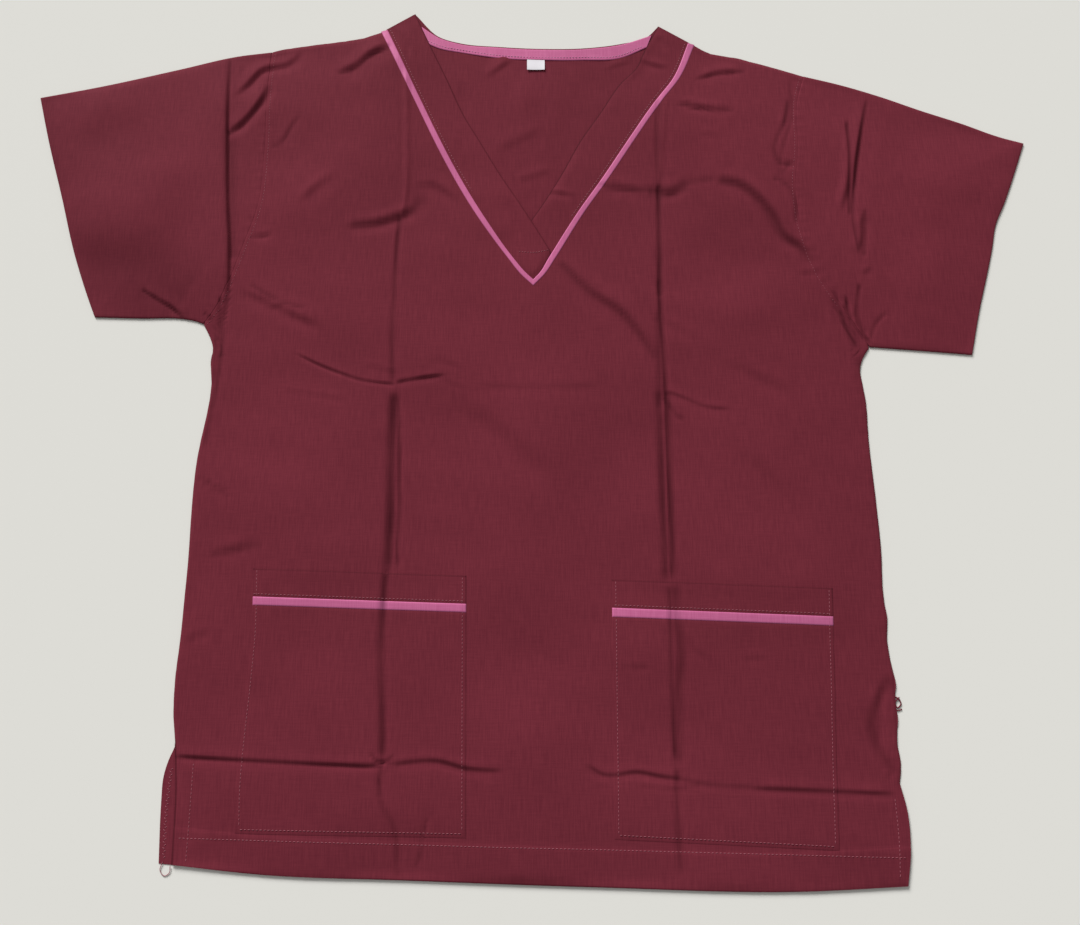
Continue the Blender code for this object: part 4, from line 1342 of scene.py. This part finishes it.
def build_loose_threads():
    """Thread ends left at the side seams and hem corner: thin tubes in small loops."""
    loop = [
        (-274, -358, 0.9), (-275.5, -364, 0.7), (-272, -368, 0.5), (-268.5, -366, 0.6), (-268, -361, 1.2),
    ]
    tuft = [
        (285, -236, 1.0), (289, -238, 0.8), (291, -242, 0.6), (288, -245, 0.5), (286.5, -241, 0.8),
        (290, -237, 0.9),
    ]
    end = [(284, -244, 1.0), (288, -247, 0.6), (291.5, -246, 0.4)]
    for name, tubes, finish in (
        ("loose_thread_loop", [thread_tube(loop, 0.28)], "burgundy_thread"),
        ("loose_thread_tuft", [thread_tube(tuft, 0.5), thread_tube(end, 0.4)], "burgundy"),
    ):
        hand_in(tube_mesh(name, tubes), finish, "burgundy_cloth", "back_panel")


# ---- the stage ----


def build_stage():
    """A plain pale floor, a soft light from beyond the neck and a little to the left, and the camera."""
    size = sizes()
    mesh = bpy.data.meshes.new("floor")
    corners = np.array([(-4, -4, 0), (4, -4, 0), (4, 4, 0), (-4, 4, 0)], float)
    mesh.from_pydata(corners, [], [(0, 1, 2, 3)])
    floor = bpy.data.objects.new("floor", mesh)
    bpy.context.scene.collection.objects.link(floor)
    floor.data.materials.append(plain_finish("finish_floor", tuple(colours().floor), 0.85))
    lamp = bpy.data.lights.new("sun", "SUN")
    lamp.energy = size.key_power
    lamp.angle = size.key_softness
    lamp.color = (1.0, 0.99, 0.97)
    holder = bpy.data.objects.new("sun", lamp)
    turned_from_y = math.radians(24.0)
    holder.rotation_euler = (size.key_height - 0.5 * math.pi, 0.0, turned_from_y)
    bpy.context.scene.collection.objects.link(holder)
    world = bpy.data.worlds.new("soft_room")
    world.use_nodes = True
    world.node_tree.nodes["Background"].inputs["Color"].default_value = (1.0, 0.985, 0.965, 1.0)
    world.node_tree.nodes["Background"].inputs["Strength"].default_value = size.fill_strength
    bpy.context.scene.world = world
    camera = bpy.data.cameras.new("camera")
    camera.lens = 36.0
    camera.sensor_width = 36.0
    holder = bpy.data.objects.new("camera", camera)
    holder.location = (0.00977, -0.27059, 0.86223)
    holder.rotation_euler = (size.camera_tilt, 0.0, 0.0)
    bpy.context.scene.collection.objects.link(holder)
    bpy.context.scene.camera = holder
    bpy.context.scene.view_settings.view_transform = "Standard"


# ---- settings, operators and panel ----


def number_property(name, description, default, **limits):
    """A number that a user may change."""
    return bpy.props.FloatProperty(name=name, description=description, default=default, **limits)


def length_property(name, description, default, lowest):
    """A length in metres that a user may change."""
    return number_property(name, description, default, min=lowest, unit="LENGTH")


def angle_property(name, description, degrees):
    """An angle that a user may change, kept in radians."""
    return number_property(name, description, math.radians(degrees), subtype="ANGLE")


class ScrubTopSizes(bpy.types.PropertyGroup):
    """Sizes and amounts a user may change before building."""

    cloth_thickness: length_property("Cloth thickness", "Wall of each layer of cloth", 0.00042, 0.0002)
    loft: length_property("Loft", "Rise of the upper sheet away from its edges", 0.0022, 0.0)
    fold_depth: number_property("Fold depth", "Share of each fold's listed height", 1.0, min=0.0)
    fold_shade: number_property("Fold shade", "Darkening for each mm of a trough", 0.34, min=0.0, max=0.6)
    stitch_pitch: length_property("Stitch pitch", "Distance from one stitch to the next", 0.003, 0.001)
    stitch_length: length_property("Stitch length", "Visible length of a stitch", 0.0022, 0.0005)
    thread_thickness: length_property("Thread thickness", "Width of the sewing thread", 0.0005, 0.0001)
    key_power: number_property("Key light", "Strength of the main light", 4.15, min=0.0)
    key_height: angle_property("Key light height", "Angle of the main light above the floor", 28.0)
    key_softness: angle_property("Key light softness", "Angle the main light fills", 26.0)
    fill_strength: number_property("Room light", "Strength of the even light all round", 0.33, min=0.0)
    camera_tilt: angle_property("Camera tilt", "Tilt from looking straight down", 14.5)


def colour_property(name, description, default):
    """A colour that a user may change."""
    return bpy.props.FloatVectorProperty(
        name=name, description=description, default=default, size=4, min=0.0, max=1.0, subtype="COLOR",
    )


class ScrubTopColours(bpy.types.PropertyGroup):
    """Colours of the cloths, threads and floor."""

    burgundy: colour_property("Burgundy", "Darker tone of the main cloth", (0.13, 0.02, 0.033, 1.0))
    burgundy_light: colour_property("Burgundy, light", "Its lighter tone", (0.172, 0.028, 0.043, 1.0))
    pink: colour_property("Pink", "Darker tone of the contrast cloth", (0.46, 0.105, 0.24, 1.0))
    pink_light: colour_property("Pink, light", "Its lighter tone", (0.56, 0.15, 0.31, 1.0))
    tape: colour_property("Tape", "The blank size tag", (0.74, 0.72, 0.77, 1.0))
    burgundy_thread: colour_property("Burgundy thread", "Main stitches", (0.31, 0.085, 0.118, 1.0))
    pink_thread: colour_property("Pink thread", "Stitches on the facing", (0.66, 0.30, 0.50, 1.0))
    floor: colour_property("Floor", "The plain floor", (0.76, 0.76, 0.73, 1.0))


# Each sheet's cut: width, length and area in metres, and what it lies on.
CUTS = {
    "back_panel_cloth": (0.568, 0.758, 0.372, ["floor"]),
    "front_panel_cloth": (0.562, 0.740, 0.350, ["back_panel_cloth"]),
    "sleeve_left_cloth": (0.500, 0.210, 0.076, ["floor"]),
    "sleeve_right_cloth": (0.500, 0.200, 0.072, ["floor"]),
    "neckband_left_cloth": (0.042, 0.300, 0.0090, ["back_panel_cloth", "neckband_right_cloth"]),
    "neckband_right_cloth": (0.042, 0.290, 0.0088, ["back_panel_cloth"]),
    "back_neck_facing_cloth": (0.014, 0.230, 0.0027, ["back_panel_cloth"]),
    "pocket_left_bag_cloth": (0.176, 0.174, 0.0300, ["front_panel_cloth"]),
    "pocket_right_bag_cloth": (0.174, 0.170, 0.0288, ["front_panel_cloth"]),
    "pocket_left_band_cloth": (0.172, 0.0237, 0.0040, ["front_panel_cloth"]),
    "pocket_right_band_cloth": (0.177, 0.0237, 0.0041, ["front_panel_cloth"]),
}
CARRIED = {
    "back_panel_cloth": ["size_tag_tape", "loose_thread_loop", "loose_thread_tuft"],
    "front_panel_cloth": ["burgundy_stitching"],
    "neckband_left_cloth": ["neck_piping_left_cloth"],
    "neckband_right_cloth": ["neck_piping_right_cloth"],
    "back_neck_facing_cloth": ["pink_stitching"],
    "pocket_left_bag_cloth": ["pocket_left_piping_cloth"],
    "pocket_right_bag_cloth": ["pocket_right_piping_cloth"],
}


def declare_cloth():
    """Goes through every sheet's cut and looks up the small pieces listed as sewn to it; nothing is set."""
    for name, (width, length, area, below) in CUTS.items():
        [bpy.data.objects[small] for small in CARRIED.get(name, [])]
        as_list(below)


class SCRUBTOP_OT_stage(bpy.types.Operator):
    """Makes the floor, the lights and the camera"""

    bl_idname = "scrub_top.stage"
    bl_label = "Stage"

    def execute(self, context):
        build_stage()
        return {"FINISHED"}


class SCRUBTOP_OT_back_panel(bpy.types.Operator):
    """Makes the back panel, flat on the floor"""

    bl_idname = "scrub_top.back_panel"
    bl_label = "Back panel"

    def execute(self, context):
        build_back_panel()
        return {"FINISHED"}


class SCRUBTOP_OT_front_panel(bpy.types.Operator):
    """Makes the front panel with its V, its folds and its hem"""

    bl_idname = "scrub_top.front_panel"
    bl_label = "Front panel"

    def execute(self, context):
        build_front_panel()
        return {"FINISHED"}


class SCRUBTOP_OT_sleeves(bpy.types.Operator):
    """Makes both sleeves as flattened tubes"""

    bl_idname = "scrub_top.sleeves"
    bl_label = "Sleeves"

    def execute(self, context):
        build_sleeve("left", ARMHOLE_LEFT, SLEEVE_LEFT_CUFF, SLEEVE_LEFT_TOP, SLEEVE_LEFT_UNDER)
        build_sleeve("right", ARMHOLE_RIGHT, SLEEVE_RIGHT_CUFF, SLEEVE_RIGHT_TOP, SLEEVE_RIGHT_UNDER)
        return {"FINISHED"}


class SCRUBTOP_OT_neck_pipings(bpy.types.Operator):
    """Makes the two contrast strips round the V"""

    bl_idname = "scrub_top.neck_pipings"
    bl_label = "Neck pipings"

    def execute(self, context):
        build_neck_pipings()
        return {"FINISHED"}


class SCRUBTOP_OT_neckbands(bpy.types.Operator):
    """Makes the two neckbands, crossed at the V"""

    bl_idname = "scrub_top.neckbands"
    bl_label = "Neckbands"

    def execute(self, context):
        build_neckbands()
        return {"FINISHED"}


class SCRUBTOP_OT_facing(bpy.types.Operator):
    """Makes the contrast facing inside the back neck"""

    bl_idname = "scrub_top.facing"
    bl_label = "Back neck facing"

    def execute(self, context):
        build_facing()
        return {"FINISHED"}


class SCRUBTOP_OT_size_tag(bpy.types.Operator):
    """Makes the blank size tag"""

    bl_idname = "scrub_top.size_tag"
    bl_label = "Size tag"

    def execute(self, context):
        build_tag()
        return {"FINISHED"}


class SCRUBTOP_OT_pockets(bpy.types.Operator):
    """Makes both patch pockets, each a band, a contrast strip and a bag"""

    bl_idname = "scrub_top.pockets"
    bl_label = "Pockets"

    def execute(self, context):
        for side in POCKETS:
            build_pocket(side)
        return {"FINISHED"}


class SCRUBTOP_OT_stitching(bpy.types.Operator):
    """Makes the visible rows of stitches"""

    bl_idname = "scrub_top.stitching"
    bl_label = "Stitching"

    def execute(self, context):
        build_stitching()
        return {"FINISHED"}


class SCRUBTOP_OT_loose_threads(bpy.types.Operator):
    """Makes the thread ends at the hem corner and the right side seam"""

    bl_idname = "scrub_top.loose_threads"
    bl_label = "Loose threads"

    def execute(self, context):
        build_loose_threads()
        return {"FINISHED"}


class SCRUBTOP_OT_declare_cloth(bpy.types.Operator):
    """Runs declare_cloth, which only looks up the small pieces listed for each sheet"""

    bl_idname = "scrub_top.declare_cloth"
    bl_label = "Declare the cloth"

    def execute(self, context):
        declare_cloth()
        return {"FINISHED"}


class SCRUBTOP_PT_panel(bpy.types.Panel):
    """The settings and the pieces, in the 3D view's sidebar"""

    bl_idname = "SCRUBTOP_PT_panel"
    bl_label = "Scrub Top"
    bl_space_type = "VIEW_3D"
    bl_region_type = "UI"
    bl_category = "Scrub Top"

    def draw(self, context):
        layout = self.layout
        for settings in (context.scene.scrub_top_sizes, context.scene.scrub_top_colours):
            column = layout.column()
            for name in settings.__annotations__:
                column.prop(settings, name)
        column = layout.column()
        for maker in OPERATORS:
            column.operator(maker.bl_idname)


OPERATORS = (
    SCRUBTOP_OT_stage, SCRUBTOP_OT_back_panel, SCRUBTOP_OT_front_panel, SCRUBTOP_OT_sleeves,
    SCRUBTOP_OT_neck_pipings, SCRUBTOP_OT_neckbands, SCRUBTOP_OT_facing, SCRUBTOP_OT_size_tag,
    SCRUBTOP_OT_pockets, SCRUBTOP_OT_stitching, SCRUBTOP_OT_loose_threads, SCRUBTOP_OT_declare_cloth,
)
CLASSES = (ScrubTopSizes, ScrubTopColours, *OPERATORS, SCRUBTOP_PT_panel)


def register():
    """Registers the classes and puts both groups of settings on the scene."""
    for item in CLASSES:
        bpy.utils.register_class(item)
    bpy.types.Scene.scrub_top_sizes = bpy.props.PointerProperty(type=ScrubTopSizes)
    bpy.types.Scene.scrub_top_colours = bpy.props.PointerProperty(type=ScrubTopColours)


def unregister():
    """Takes away what register() added."""
    del bpy.types.Scene.scrub_top_colours
    del bpy.types.Scene.scrub_top_sizes
    for item in reversed(CLASSES):
        bpy.utils.unregister_class(item)


def main():
    """Builds every piece in order."""
    register()
    bpy.ops.scrub_top.stage()
    bpy.ops.scrub_top.back_panel()
    bpy.ops.scrub_top.front_panel()
    bpy.ops.scrub_top.sleeves()
    bpy.ops.scrub_top.neck_pipings()
    bpy.ops.scrub_top.neckbands()
    bpy.ops.scrub_top.facing()
    bpy.ops.scrub_top.size_tag()
    bpy.ops.scrub_top.pockets()
    bpy.ops.scrub_top.stitching()
    bpy.ops.scrub_top.loose_threads()
    bpy.ops.scrub_top.declare_cloth()


if __name__ == "__main__":
    main()
